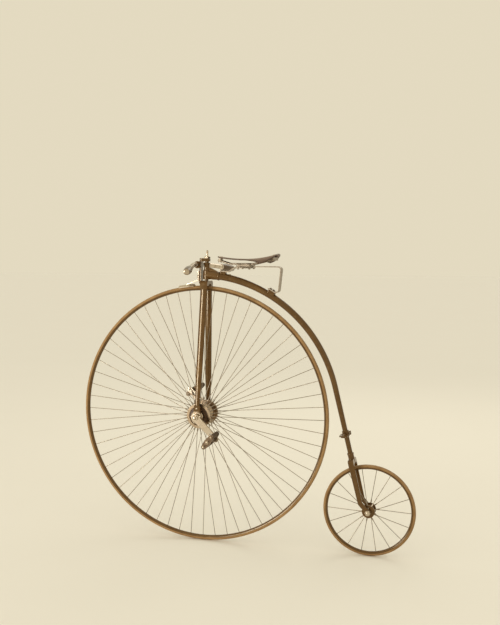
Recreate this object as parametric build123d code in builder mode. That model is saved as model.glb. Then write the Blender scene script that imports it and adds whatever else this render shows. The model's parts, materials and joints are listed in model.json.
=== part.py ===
from math import acos, atan2, cos, degrees, hypot, radians, sin, sqrt, tan
import os

from build123d import *

# High-wheel bicycle, in millimetres. +X is forward, +Y is the rider's left and +Z is up.
# The origin is on the middle of the saddle's top, where the rider sits.

# Wheels and where they stand
FRONT_DIAMETER = 1219.0
REAR_DIAMETER = 420.0
WHEELBASE = 795.0
FRONT_TYRE_SECTION = 19.0
REAR_TYRE_SECTION = 17.0
RIM_WALL = 1.3
RIM_DEPTH_BELOW_TYRE = 4.0
RIM_EDGE_HEIGHT = 0.42
FRONT_SPOKES_A_SIDE = 30
REAR_SPOKES_A_SIDE = 9
SPOKE_DIAMETER = 2.8

# Clearances: a shaft that turns in its bearing, a piece fixed on another, rubber or leather on its seat,
# a flat seat, and the least distance between a moving piece and its neighbour
RUN_FIT = 0.08
FIXED_FIT = 0.10
SOFT_FIT = 0.6
SEAT_GAP = 0.3
MOVING_GAP = 6.0

# Front hub
FRONT_FLANGE_DIAMETER = 116.0
FRONT_FLANGE_THICKNESS = 7.0
FRONT_FLANGE_SPREAD = 110.0
FLANGE_RECESS_OUTER = 92.0
FLANGE_RECESS_INNER = 56.0
FLANGE_RECESS_DEPTH = 4.0
FRONT_BARREL_DIAMETER = 34.0
FRONT_COLLAR_DIAMETER = 38.0
FRONT_COLLAR_HEIGHT = 7.0
FRONT_AXLE_DIAMETER = 18.0
AXLE_NUT_DIAMETER = 27.0
AXLE_NUT_THICKNESS = 7.0

# Bearing cases at the feet of the front fork
CASE_DIAMETER = 52.0
CASE_WAIST_DIAMETER = 45.0
CASE_LIP = 4.5
CASE_WIDTH = 26.0
CASE_SIDE_GAP = 2.0
CASE_LUG_HEIGHT = 54.0
CASE_SOCKET_WALL = 2.0

# Cranks and pedals
CRANK_THICKNESS = 11.0
CRANK_BOSS_DIAMETER = 36.0
CRANK_END_DIAMETER = 25.0
CRANK_LENGTH = 138.0
CRANK_THROW = 127.0
CRANK_ANGLE = 44.0
CRANK_EDGE_RADIUS = 1.6
SLOT_WIDTH = 10.0
SLOT_LENGTH = 44.0
PEDAL_PIN_DIAMETER = 9.4
PIN_HEAD_WIDTH = 17.0
PIN_HEAD_THICKNESS = 5.0
PEDAL_WIDTH = 88.0
PEDAL_PLATE_THICKNESS = 4.0
PEDAL_PLATE_LENGTH = 80.0
PEDAL_PLATE_HEIGHT = 31.0
PEDAL_LOBE_DIAMETER = 22.0
PEDAL_BARREL_DIAMETER = 18.0
PEDAL_RUBBER_SIZE = 19.0
PEDAL_RUBBER_ROUND = 4.0
PEDAL_RUBBER_SPREAD = 58.0
PEDAL_TILTS = {"left": 52.0, "right": 37.0}

# Front fork blades, oval, from the crown to the bearing cases
BLADE_TOP_DEPTH = 34.0
BLADE_TOP_WIDTH = 15.0
BLADE_KNEE_HEIGHT = 150.0
BLADE_KNEE_DEPTH = 30.0
BLADE_KNEE_WIDTH = 13.5
BLADE_FOOT_DEPTH = 21.0
BLADE_FOOT_WIDTH = 11.0

# Steering head: its top leans back, and heights run up the steering axis
HEAD_RAKE = 2.0
CROWN_TYRE_GAP = 9.0
CROWN_THICKNESS = 15.0
CROWN_DEPTH = 36.0
CROWN_LEG_DROP = 24.0
CROWN_LEG_SPREAD = 66.0
CROWN_LEG_WALL = 2.0
CROWN_SHOULDER_RADIUS = 16.0
HEAD_OPENING = 90.0
HEAD_BRIDGE_THICKNESS = 14.0
HEAD_WIDTH = 30.0
HEAD_PLATE_THICKNESS = 12.0
HEAD_CORNER_RADIUS = 11.0

# Neck with the steering spindle, which ends in a cone above and below
NECK_DIAMETER = 34.0
NECK_WAIST_DIAMETER = 26.0
NECK_LENGTH = 60.0
NECK_HEIGHT = 656.5
NECK_SOCKET_DIAMETER = 40.0
NECK_WEB_WIDTH = 15.0
NECK_WEB_SLOPE = 22.0
SPINDLE_DIAMETER = 18.0
CONE_TIP_DIAMETER = 6.0
SPINDLE_DEPTH = 9.0
SCREW_DIAMETER = 23.0
LOCK_NUT_DIAMETER = 31.0
LOCK_NUT_THICKNESS = 7.0
FINIAL_DIAMETER = 9.0
SCREW_TOP_HEIGHT = 775.0

# Handlebar and grips
BAR_DIAMETER = 22.0
BAR_WIDTH = 650.0
BAR_STRAIGHT = 150.0
BAR_SWEEP_BACK = 60.0
BAR_DROP = 22.0
BAR_BEND_RADIUS = 120.0
BAR_LUG_DIAMETER = 34.0
BAR_LUG_WIDTH = 46.0
GRIP_LENGTH = 108.0
GRIP_OVERHANG = 9.0
GRIP_THROAT_DIAMETER = 27.0
GRIP_DIAMETER = 35.0
GRIP_END_DIAMETER = 27.0

# Brake: a spoon over the front tyre, pushed by a plunger from the lever under the right grip
SPOON_THICKNESS = 2.5
SPOON_START = 5.5
SPOON_SWEEP = 7.0
SPOON_ARM_THICKNESS = 4.0
SPOON_ARM_WIDTH = 14.0
PLUNGER_DIAMETER = 8.0
LEVER_DIAMETER = 9.0
LEVER_BELOW_BAR = 34.0
LEVER_SHORT_OF_BAR = 26.0

# Backbone, tapered, on an arc over the front wheel that runs tangent into the rear fork's line
BACKBONE_RADIUS = 660.0
BACKBONE_TOP_DIAMETER = 34.0
BACKBONE_END_DIAMETER = 22.0

# Rear fork: its line leans forward and passes ahead of the rear axle
REAR_FORK_LEAN = 13.5
REAR_FORK_LEAD = 25.0
REAR_CROWN_GAP = 16.0
REAR_CROWN_THICKNESS = 20.0
REAR_CROWN_LEG_DROP = 16.0
REAR_CROWN_SHOULDER = 14.0
REAR_SOCKET_LENGTH = 24.0
REAR_SOCKET_WALL = 3.0
REAR_BLADE_SPREAD = 76.0
REAR_BLADE_TOP_DEPTH = 25.0
REAR_BLADE_FOOT_DEPTH = 21.0
REAR_BLADE_WIDTH = 9.0
REAR_BLADE_EDGE_RADIUS = 3.0
REAR_KNEE_HEIGHT = 46.0
REAR_END_DIAMETER = 28.0

# Rear hub, axle and nuts
REAR_AXLE_DIAMETER = 10.0
REAR_FLANGE_DIAMETER = 58.0
REAR_FLANGE_THICKNESS = 5.0
REAR_FLANGE_SPREAD = 46.0
REAR_BARREL_DIAMETER = 26.0
REAR_HUB_SIDE_GAP = 2.0
REAR_NUT_DIAMETER = 27.0
NUT_THICKNESS = 7.0
REAR_NUT_DOME_DIAMETER = 20.0
REAR_NUT_DOME_HEIGHT = 7.0

# Saddle and its spring
SPRING_WIDTH = 38.0
SPRING_THICKNESS = 4.0
SPRING_TOP_HEIGHT = 699.0
SPRING_FRONT = 102.0
SPRING_FRONT_TOE = 15.0
SPRING_FRONT_HEEL = 24.0
SPRING_REAR = 330.0
SPRING_REAR_TOE = 20.0
SPRING_REAR_HEEL = 34.0
CLIP_HEIGHT = 10.0
SPRING_BEND_RADIUS = 14.0
SADDLE_HEIGHT = 1345.0
SADDLE_SETBACK = 215.0
SADDLE_LENGTH = 290.0
SADDLE_NOSE_SHARE = 0.47
SADDLE_REAR_WIDTH = 190.0
SADDLE_NOSE_WIDTH = 52.0
SADDLE_THICKNESS = 5.0
SADDLE_CROWN_RADIUS = 190.0
NOSE_RISE = 12.0
CANTLE_RISE = 24.0
RAIL_DIAMETER = 8.0
RAIL_FALL = 48.0
RAIL_BEND_RADIUS = 30.0
CLIP_PLATE = 8.0
CLIP_PLATE_LENGTH = 70.0
CLIP_PLATE_WIDTH = 84.0
CANTLE_PLATE_WIDTH = 90.0
CANTLE_PLATE_LENGTH = 14.0
CANTLE_PLATE_HEIGHT = 14.0
CANTLE_PLATE_DROP = 13.0
CANTLE_PLATE_INSET = 18.0
NOSE_PLATE_LENGTH = 16.0
NOSE_PLATE_WIDTH = 30.0
NOSE_PLATE_HEIGHT = 18.0
NOSE_PLATE_INSET = 14.0

# Mounting step on the left, and how far it sits from the rear hub's level along the fork's line
STEP_DISTANCE = 362.0
STEP_LENGTH = 62.0
STEP_WIDTH = 36.0
STEP_THICKNESS = 5.0
STEP_ARM_LENGTH = 12.0
STEP_ARM_WIDTH = 20.0
STEP_ARM_THICKNESS = 7.0
STEP_CLIP_LENGTH = 26.0
STEP_CLIP_WALL = 4.0
STEP_TOOTH = 5.0

SIDES = {"left": 1, "right": -1}
FRONT_RADIUS = FRONT_DIAMETER / 2
REAR_RADIUS = REAR_DIAMETER / 2

# Heights along the steering axis above the front hub
CROWN_UNDER = FRONT_RADIUS + CROWN_TYRE_GAP
CROWN_TOP = CROWN_UNDER + CROWN_THICKNESS
LEG_END = CROWN_UNDER - CROWN_LEG_DROP
BRIDGE_UNDER = CROWN_TOP + HEAD_OPENING
BRIDGE_TOP = BRIDGE_UNDER + HEAD_BRIDGE_THICKNESS
NECK_BOTTOM = CROWN_TOP + MOVING_GAP
NECK_TOP = BRIDGE_UNDER - MOVING_GAP

FRONT_HUB = Vector(SADDLE_SETBACK, 0, FRONT_RADIUS - SADDLE_HEIGHT)
REAR_HUB = Vector(SADDLE_SETBACK - WHEELBASE, 0, REAR_RADIUS - SADDLE_HEIGHT)

# Head frame: origin at the front hub, Z up the steering axis, X forward
RAKE = radians(HEAD_RAKE)
HEAD = Plane(origin=FRONT_HUB, x_dir=(cos(RAKE), 0, sin(RAKE)), z_dir=(-sin(RAKE), 0, cos(RAKE)))
STEERING_AXIS = Axis(FRONT_HUB, HEAD.z_dir)
HEAD_SIDE = Plane(origin=FRONT_HUB, x_dir=HEAD.x_dir, z_dir=-HEAD.y_dir)
HEAD_FRONT = Plane(origin=FRONT_HUB, x_dir=HEAD.y_dir, z_dir=HEAD.x_dir)
PLATE_REAR = NECK_DIAMETER / 2 + MOVING_GAP
PLATE_FRONT = PLATE_REAR + HEAD_PLATE_THICKNESS
BAR_X = PLATE_REAR + BAR_LUG_DIAMETER / 2
BAR_HEIGHT = BRIDGE_UNDER - BAR_LUG_DIAMETER / 2

# Distances out along the front axle
FLANGE_OUT = FRONT_FLANGE_SPREAD / 2 + FRONT_FLANGE_THICKNESS / 2
FLANGE_IN = FLANGE_OUT - FRONT_FLANGE_THICKNESS
COLLAR_OUT = FLANGE_OUT + FRONT_COLLAR_HEIGHT
CASE_IN = COLLAR_OUT + CASE_SIDE_GAP
CASE_OUT = CASE_IN + CASE_WIDTH
CASE_MIDDLE = (CASE_IN + CASE_OUT) / 2
CRANK_IN = CASE_OUT + CASE_SIDE_GAP
CRANK_OUT = CRANK_IN + CRANK_THICKNESS
PEDAL_IN = CRANK_OUT + PIN_HEAD_THICKNESS + CASE_SIDE_GAP
PEDAL_OUT = PEDAL_IN + PEDAL_WIDTH

# Distances out along the rear axle
REAR_END_IN = REAR_BLADE_SPREAD / 2 - REAR_BLADE_WIDTH / 2
REAR_END_OUT = REAR_BLADE_SPREAD / 2 + REAR_BLADE_WIDTH / 2

os.makedirs("parts", exist_ok=True)


def save(part, label):
    part.label = label
    export_step(part, f"parts/{label}.step")


def head_plane(height):
    """Plane across the steering axis at a height above the front hub."""
    return HEAD.offset(height)


def head_point(forward, left, height):
    return HEAD.from_local_coords(Vector(forward, left, height))


def wheel_section(hub):
    """Half plane through the axle: X runs along the axle to the left, Y runs up from the axle."""
    return Plane(origin=hub, x_dir=(0, 1, 0), z_dir=(1, 0, 0))


def wheel_side(hub, y=0.0, turn=0.0):
    """Plane of a wheel at a distance to the left, its X turned from forward towards up by an angle."""
    angle = radians(turn)
    return Plane(origin=hub + Vector(0, y, 0), x_dir=(cos(angle), 0, sin(angle)), z_dir=(0, -1, 0))


def axle_line(hub):
    return Axis(hub, (0, 1, 0))


# Wheels: a round solid tyre seated in a crescent rim, and direct spokes from each flange to the rim's middle
def make_tyre(hub, radius, section, label):
    with BuildPart() as tyre:
        with BuildSketch(wheel_section(hub)):
            with Locations((0, radius - section / 2)):
                Circle(section / 2)
        revolve(axis=axle_line(hub))
    save(tyre.part, label)


def make_rim(hub, radius, section, label):
    tyre_line = radius - section / 2
    outer = section / 2 + RIM_WALL
    drop = section / 2 + RIM_DEPTH_BELOW_TYRE - outer
    with BuildPart() as rim:
        with BuildSketch(wheel_section(hub)):
            with Locations((0, tyre_line - drop)):
                Circle(outer)
            with Locations((0, tyre_line)):
                Circle(section / 2 + SOFT_FIT, mode=Mode.SUBTRACT)
            with Locations((0, tyre_line + section - RIM_EDGE_HEIGHT * section / 2)):
                Rectangle(2 * section, 2 * section, mode=Mode.SUBTRACT)
        revolve(axis=axle_line(hub))
    save(rim.part, label)


def make_spokes(hub, radius, section, flange_radius, flange_y, count, phase, label):
    inner = flange_radius + SEAT_GAP
    outer = radius - section - RIM_DEPTH_BELOW_TYRE - SOFT_FIT
    with BuildPart() as spokes:
        for i in range(count):
            angle = radians(phase + 360.0 * i / count)
            out = Vector(cos(angle), 0, sin(angle))
            start = hub + out * inner + Vector(0, flange_y, 0)
            end = hub + out * outer
            with BuildSketch(Plane(origin=start, z_dir=end - start)):
                Circle(SPOKE_DIAMETER / 2)
            extrude(amount=(end - start).length)
    save(spokes.part, label)


# Columns: name, hub, wheel radius, tyre section, flange radius, flange's distance out, spokes a side
WHEELS = [
    ("front", FRONT_HUB, FRONT_RADIUS, FRONT_TYRE_SECTION, FRONT_FLANGE_DIAMETER / 2, FRONT_FLANGE_SPREAD / 2,
     FRONT_SPOKES_A_SIDE),
    ("rear", REAR_HUB, REAR_RADIUS, REAR_TYRE_SECTION, REAR_FLANGE_DIAMETER / 2, REAR_FLANGE_SPREAD / 2,
     REAR_SPOKES_A_SIDE),
]
for name, hub, radius, section, flange_radius, flange_y, count in WHEELS:
    make_tyre(hub, radius, section, f"{name}_tyre")
    make_rim(hub, radius, section, f"{name}_rim")
    for side, sign in SIDES.items():
        phase = 0.0 if side == "left" else 180.0 / count
        label = f"{name}_spokes_{side}"
        make_spokes(hub, radius, section, flange_radius, sign * flange_y, count, phase, label)

# Front hub: a barrel that flares into two flanges, each dished outside round a raised collar
with BuildPart() as front_hub:
    with BuildSketch(wheel_section(FRONT_HUB)):
        with BuildLine():
            barrel = Polyline(
                (0, FRONT_AXLE_DIAMETER / 2 + FIXED_FIT),
                (0, FRONT_BARREL_DIAMETER / 2),
                (FLANGE_IN - FLANGE_RECESS_INNER / 2, FRONT_BARREL_DIAMETER / 2),
            )
            flare = TangentArc(barrel @ 1, (FLANGE_IN, FLANGE_RECESS_INNER / 2 + 7), tangent=(1, 0))
            Polyline(
                flare @ 1,
                (FLANGE_IN, FRONT_FLANGE_DIAMETER / 2),
                (FLANGE_OUT, FRONT_FLANGE_DIAMETER / 2),
                (FLANGE_OUT, FLANGE_RECESS_OUTER / 2),
                (FLANGE_OUT - FLANGE_RECESS_DEPTH, FLANGE_RECESS_OUTER / 2 - 3),
                (FLANGE_OUT - FLANGE_RECESS_DEPTH, FLANGE_RECESS_INNER / 2 + 2),
                (FLANGE_OUT + 1, FLANGE_RECESS_INNER / 2),
                (FLANGE_OUT + 1, FRONT_COLLAR_DIAMETER / 2 + 2),
                (COLLAR_OUT, FRONT_COLLAR_DIAMETER / 2),
                (COLLAR_OUT, FRONT_AXLE_DIAMETER / 2 + FIXED_FIT),
                barrel @ 0,
            )
        make_face()
    revolve(axis=axle_line(FRONT_HUB))
    mirror(about=Plane.XZ)
save(front_hub.part, "front_hub")

# Front axle: turns with the hub in the two bearing cases, and carries a crank and its nut at each end
with BuildPart() as front_axle:
    with BuildSketch(wheel_side(FRONT_HUB)):
        Circle(FRONT_AXLE_DIAMETER / 2)
    extrude(amount=CRANK_OUT + AXLE_NUT_THICKNESS + 2, both=True)
    for sign in SIDES.values():
        with BuildSketch(wheel_side(FRONT_HUB, sign * CRANK_OUT)):
            RegularPolygon(AXLE_NUT_DIAMETER / 2, 6)
        extrude(amount=-AXLE_NUT_THICKNESS * sign)
    chamfer(front_axle.faces().filter_by(Axis.Y).group_by(Axis.Y)[0].edges(), 1.5)
    chamfer(front_axle.faces().filter_by(Axis.Y).group_by(Axis.Y)[-1].edges(), 1.5)
save(front_axle.part, "front_axle")

# Cranks: flat arms keyed on the axle, with a long slot that lets the throw be set
for side, sign in SIDES.items():
    turn = 180 + CRANK_ANGLE if side == "left" else CRANK_ANGLE
    lean = degrees(acos((CRANK_BOSS_DIAMETER - CRANK_END_DIAMETER) / 2 / CRANK_LENGTH))
    with BuildPart() as crank:
        with BuildSketch(wheel_side(FRONT_HUB, sign * CRANK_IN, turn)):
            with BuildLine():
                boss = CenterArc((0, 0), CRANK_BOSS_DIAMETER / 2, lean, 360 - 2 * lean)
                tip = CenterArc((CRANK_LENGTH, 0), CRANK_END_DIAMETER / 2, -lean, 2 * lean)
                Line(boss @ 0, tip @ 1)
                Line(boss @ 1, tip @ 0)
            make_face()
        extrude(amount=-CRANK_THICKNESS * sign)
        fillet(crank.edges().filter_by(Axis.Y, reverse=True), CRANK_EDGE_RADIUS)
        with BuildSketch(wheel_side(FRONT_HUB, sign * CRANK_IN, turn)):
            Circle(FRONT_AXLE_DIAMETER / 2 + FIXED_FIT)
            with Locations((CRANK_LENGTH - SLOT_LENGTH / 2 + SLOT_WIDTH / 4, 0)):
                SlotOverall(SLOT_LENGTH, SLOT_WIDTH)
        extrude(amount=-CRANK_THICKNESS * sign, mode=Mode.SUBTRACT)
    save(crank.part, f"crank_{side}")

# Pedals: a pin clamped in the crank's slot, a frame of two plates and a barrel on it, and two rubber bars
for side, sign in SIDES.items():
    turn = 180 + CRANK_ANGLE if side == "left" else CRANK_ANGLE
    tilt = 180 - PEDAL_TILTS[side]
    centre = FRONT_HUB + Vector(cos(radians(turn)), 0, sin(radians(turn))) * CRANK_THROW
    pin_in = CRANK_IN - PIN_HEAD_THICKNESS
    pin_out = PEDAL_OUT + SEAT_GAP + PIN_HEAD_THICKNESS
    with BuildPart() as pin:
        with BuildSketch(wheel_side(centre, sign * pin_in)):
            Circle(PEDAL_PIN_DIAMETER / 2)
        extrude(amount=-sign * (pin_out - pin_in))
        with BuildSketch(wheel_side(centre, sign * CRANK_OUT, turn)):
            Rectangle(PIN_HEAD_WIDTH, PIN_HEAD_WIDTH)
        extrude(amount=-sign * PIN_HEAD_THICKNESS)
        for start, thickness in ((CRANK_IN, -PIN_HEAD_THICKNESS), (PEDAL_OUT + SEAT_GAP, PIN_HEAD_THICKNESS)):
            with BuildSketch(wheel_side(centre, sign * start)):
                RegularPolygon(PIN_HEAD_WIDTH / 2, 6)
            extrude(amount=-sign * thickness)
    save(pin.part, f"pedal_pin_{side}")

    with BuildPart() as pedal_frame:
        for y in (PEDAL_IN, PEDAL_OUT - PEDAL_PLATE_THICKNESS):
            lobe_x = (PEDAL_PLATE_LENGTH - PEDAL_LOBE_DIAMETER) / 2
            with BuildSketch(wheel_side(centre, sign * y, tilt)):
                Circle(PEDAL_PLATE_HEIGHT / 2)
                with Locations((-lobe_x, 0), (lobe_x, 0)):
                    Circle(PEDAL_LOBE_DIAMETER / 2)
                make_hull()
            extrude(amount=-sign * PEDAL_PLATE_THICKNESS)
        with BuildSketch(wheel_side(centre, sign * PEDAL_IN)):
            Circle(PEDAL_BARREL_DIAMETER / 2)
        extrude(amount=-sign * PEDAL_WIDTH)
        with BuildSketch(wheel_side(centre, sign * PEDAL_IN)):
            Circle(PEDAL_PIN_DIAMETER / 2 + RUN_FIT)
        extrude(amount=-sign * PEDAL_WIDTH, mode=Mode.SUBTRACT)
    save(pedal_frame.part, f"pedal_frame_{side}")

    inner = PEDAL_IN + PEDAL_PLATE_THICKNESS + SEAT_GAP
    outer = PEDAL_OUT - PEDAL_PLATE_THICKNESS - SEAT_GAP
    with BuildPart() as pedal_rubbers:
        with BuildSketch(wheel_side(centre, sign * inner, tilt)):
            with Locations((-PEDAL_RUBBER_SPREAD / 2, 0), (PEDAL_RUBBER_SPREAD / 2, 0)):
                RectangleRounded(PEDAL_RUBBER_SIZE, PEDAL_RUBBER_SIZE, PEDAL_RUBBER_ROUND)
        extrude(amount=-sign * (outer - inner))
    save(pedal_rubbers.part, f"pedal_rubbers_{side}")

# Bearing cases: a waisted drum round the axle, with a socket above it that takes the foot of the fork blade
for side, sign in SIDES.items():
    with BuildPart() as case:
        with BuildSketch(wheel_section(FRONT_HUB)):
            with BuildLine():
                Polyline(
                    (sign * CASE_IN, 0),
                    (sign * CASE_IN, CASE_DIAMETER / 2),
                    (sign * (CASE_IN + CASE_LIP), CASE_DIAMETER / 2),
                    (sign * (CASE_IN + CASE_LIP + 2), CASE_WAIST_DIAMETER / 2),
                    (sign * (CASE_OUT - CASE_LIP - 2), CASE_WAIST_DIAMETER / 2),
                    (sign * (CASE_OUT - CASE_LIP), CASE_DIAMETER / 2),
                    (sign * (CASE_OUT - 1.5), CASE_DIAMETER / 2),
                    (sign * CASE_OUT, CASE_DIAMETER / 2 - 1.5),
                    (sign * CASE_OUT, 0),
                    close=True,
                )
            make_face()
        revolve(axis=axle_line(FRONT_HUB))
        with BuildSketch(head_plane(CASE_WAIST_DIAMETER / 4)):
            with Locations((0, sign * CASE_MIDDLE)):
                Rectangle(CASE_WAIST_DIAMETER * 0.8, CASE_WIDTH - 2 * CASE_LIP)
        with BuildSketch(head_plane(CASE_LUG_HEIGHT)):
            with Locations((0, sign * CASE_MIDDLE)):
                Rectangle(BLADE_FOOT_DEPTH + 2 * CASE_SOCKET_WALL, BLADE_FOOT_WIDTH + 2 * CASE_SOCKET_WALL)
        loft(ruled=True)
        with BuildSketch(wheel_side(FRONT_HUB, sign * CASE_MIDDLE)):
            Circle(FRONT_AXLE_DIAMETER / 2 + RUN_FIT)
        extrude(amount=CASE_WIDTH, both=True, mode=Mode.SUBTRACT)
    save(case.part, f"bearing_case_{side}")

# Front fork blades, oval, from the crown's legs to the sockets of the bearing cases
knee_share = (BLADE_KNEE_HEIGHT - CASE_LUG_HEIGHT) / (LEG_END - CASE_LUG_HEIGHT)
knee_out = CASE_MIDDLE * (1 - knee_share) + CROWN_LEG_SPREAD / 2 * knee_share

# Columns: height, distance out, depth, width
BLADE_SECTIONS = [
    (CASE_LUG_HEIGHT, CASE_MIDDLE, BLADE_FOOT_DEPTH, BLADE_FOOT_WIDTH),
    (BLADE_KNEE_HEIGHT, knee_out, BLADE_KNEE_DEPTH, BLADE_KNEE_WIDTH),
    (LEG_END, CROWN_LEG_SPREAD / 2, BLADE_TOP_DEPTH, BLADE_TOP_WIDTH),
]
for side, sign in SIDES.items():
    with BuildPart() as blade:
        for height, out, depth, width in BLADE_SECTIONS:
            with BuildSketch(head_plane(height)):
                with Locations((0, sign * out)):
                    Ellipse(depth / 2, width / 2)
        loft(ruled=True)
    save(blade.part, f"fork_{side}")

# Steering head: a frame open to the rear round the neck, the crown below it and the handlebar's lug in front
with BuildPart() as steering_head:
    head_rear = -HEAD_WIDTH / 2
    with BuildSketch(HEAD_SIDE):
        with Locations(((head_rear + PLATE_FRONT) / 2, (CROWN_UNDER + BRIDGE_TOP) / 2)):
            RectangleRounded(PLATE_FRONT - head_rear, BRIDGE_TOP - CROWN_UNDER, HEAD_CORNER_RADIUS / 2)
        with Locations((PLATE_REAR - PLATE_FRONT, (CROWN_TOP + BRIDGE_UNDER) / 2)):
            RectangleRounded(2 * PLATE_FRONT, HEAD_OPENING, HEAD_CORNER_RADIUS / 2, mode=Mode.SUBTRACT)
    extrude(amount=HEAD_WIDTH / 2, both=True)
    with BuildSketch(head_plane(CROWN_UNDER)):
        with Locations(((head_rear + PLATE_FRONT) / 2, 0)):
            RectangleRounded(PLATE_FRONT - head_rear, HEAD_WIDTH, HEAD_CORNER_RADIUS)
    extrude(amount=BRIDGE_TOP - CROWN_UNDER, mode=Mode.INTERSECT)
    leg_out = CROWN_LEG_SPREAD / 2 + BLADE_TOP_WIDTH / 2 + CROWN_LEG_WALL
    leg_in = CROWN_LEG_SPREAD / 2 - BLADE_TOP_WIDTH / 2 - CROWN_LEG_WALL
    with BuildSketch(HEAD_FRONT):
        with Locations((0, CROWN_TOP - 2 * CROWN_LEG_DROP)):
            RectangleRounded(2 * leg_out, 4 * CROWN_LEG_DROP, CROWN_SHOULDER_RADIUS)
        with Locations((0, CROWN_UNDER - 2 * CROWN_LEG_DROP)):
            RectangleRounded(2 * leg_in, 4 * CROWN_LEG_DROP, CROWN_SHOULDER_RADIUS, mode=Mode.SUBTRACT)
        with Locations((0, LEG_END - 2 * CROWN_LEG_DROP)):
            Rectangle(4 * leg_out, 4 * CROWN_LEG_DROP, mode=Mode.SUBTRACT)
    extrude(amount=CROWN_DEPTH / 2, both=True)
    with BuildSketch(HEAD_SIDE):
        with Locations((BAR_X, BAR_HEIGHT)):
            Circle(BAR_LUG_DIAMETER / 2)
    extrude(amount=BAR_LUG_WIDTH / 2, both=True)
    with BuildSketch(HEAD_SIDE):
        with Locations((BAR_X, BAR_HEIGHT)):
            Circle(BAR_DIAMETER / 2 + FIXED_FIT)
    extrude(amount=BAR_LUG_WIDTH, both=True, mode=Mode.SUBTRACT)
    with BuildSketch(HEAD_SIDE):
        with BuildLine():
            Polyline(
                (0, CROWN_TOP - SPINDLE_DEPTH - SEAT_GAP),
                (CONE_TIP_DIAMETER / 2 + RUN_FIT, CROWN_TOP - SPINDLE_DEPTH - SEAT_GAP),
                (CONE_TIP_DIAMETER / 2 + RUN_FIT, CROWN_TOP - SPINDLE_DEPTH),
                (SPINDLE_DIAMETER / 2 + RUN_FIT, CROWN_TOP),
                (SPINDLE_DIAMETER / 2 + RUN_FIT, CROWN_TOP + 1),
                (0, CROWN_TOP + 1),
                close=True,
            )
        make_face()
    revolve(axis=STEERING_AXIS, mode=Mode.SUBTRACT)
    with BuildSketch(head_plane(BRIDGE_UNDER - 1)):
        Circle(SCREW_DIAMETER / 2 + FIXED_FIT)
    extrude(amount=HEAD_BRIDGE_THICKNESS + 2, mode=Mode.SUBTRACT)
save(steering_head.part, "steering_head")

# Head adjusting screw: its cup seats the spindle's upper cone, with a lock nut and a finial above the bridge
with BuildPart() as head_screw:
    with BuildSketch(head_plane(BRIDGE_UNDER + SEAT_GAP)):
        Circle(SCREW_DIAMETER / 2)
    extrude(amount=HEAD_BRIDGE_THICKNESS)
    with BuildSketch(head_plane(BRIDGE_TOP + SEAT_GAP)):
        RegularPolygon(LOCK_NUT_DIAMETER / 2, 6)
    extrude(amount=LOCK_NUT_THICKNESS)
    with BuildSketch(HEAD_SIDE):
        with BuildLine():
            foot = BRIDGE_TOP + LOCK_NUT_THICKNESS
            Polyline(
                (0, foot), (FINIAL_DIAMETER, foot),
                (FINIAL_DIAMETER, foot + 3), (FINIAL_DIAMETER / 2, foot + 7),
                (FINIAL_DIAMETER / 2, SCREW_TOP_HEIGHT - 3), (FINIAL_DIAMETER / 2 - 2, SCREW_TOP_HEIGHT),
                (0, SCREW_TOP_HEIGHT), close=True,
            )
        make_face()
    revolve(axis=STEERING_AXIS)
    with BuildSketch(HEAD_SIDE):
        with BuildLine():
            Polyline(
                (0, BRIDGE_UNDER),
                (SPINDLE_DIAMETER / 2 + RUN_FIT, BRIDGE_UNDER),
                (SPINDLE_DIAMETER / 2 + RUN_FIT, BRIDGE_UNDER + SEAT_GAP),
                (CONE_TIP_DIAMETER / 2 + RUN_FIT, BRIDGE_UNDER + SEAT_GAP + SPINDLE_DEPTH),
                (0, BRIDGE_UNDER + SEAT_GAP + SPINDLE_DEPTH),
                close=True,
            )
        make_face()
    revolve(axis=STEERING_AXIS, mode=Mode.SUBTRACT)
save(head_screw.part, "head_adjusting_screw")

# Handlebar: straight through the lug, then swept back and down to the grips
BAR_KNEE = Vector(0, BAR_STRAIGHT / 2, 0)
BAR_END = Vector(-BAR_SWEEP_BACK, BAR_WIDTH / 2, -BAR_DROP)
BAR_OUT = (BAR_END - BAR_KNEE).normalized()


def bar_point(local, sign=1):
    """Point of the handlebar from distances forward, out to a side and up, counted from the lug's middle."""
    return head_point(BAR_X + local.X, sign * local.Y, BAR_HEIGHT + local.Z)


with BuildPart() as handlebar:
    with BuildLine() as bar_path:
        FilletPolyline(
            bar_point(BAR_END, -1), bar_point(BAR_KNEE, -1), bar_point(BAR_KNEE), bar_point(BAR_END),
            radius=BAR_BEND_RADIUS,
        )
    with BuildSketch(bar_path.line ^ 0):
        Circle(BAR_DIAMETER / 2)
    sweep()
save(handlebar.part, "handlebar")

# Grips: turned handles over the bar's ends
for side, sign in SIDES.items():
    out = HEAD.x_dir * BAR_OUT.X + HEAD.y_dir * (sign * BAR_OUT.Y) + HEAD.z_dir * BAR_OUT.Z
    start = bar_point(BAR_END, sign) - out * (GRIP_LENGTH - GRIP_OVERHANG)
    seat = BAR_DIAMETER / 2 + FIXED_FIT
    depth = GRIP_LENGTH - GRIP_OVERHANG + SEAT_GAP
    with BuildPart() as grip:
        with BuildSketch(Plane(origin=start, x_dir=out, z_dir=out.cross(HEAD.z_dir))):
            with BuildLine():
                throat = Polyline((depth, 0), (depth, seat), (0, seat), (0, GRIP_THROAT_DIAMETER / 2))
                swell = ThreePointArc(
                    throat @ 1,
                    (GRIP_LENGTH * 0.58, GRIP_DIAMETER / 2),
                    (GRIP_LENGTH, GRIP_END_DIAMETER / 2),
                )
                Polyline(swell @ 1, (GRIP_LENGTH, 0), throat @ 0)
            make_face()
        revolve(axis=Axis(start, out))
    save(grip.part, f"grip_{side}")

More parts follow.
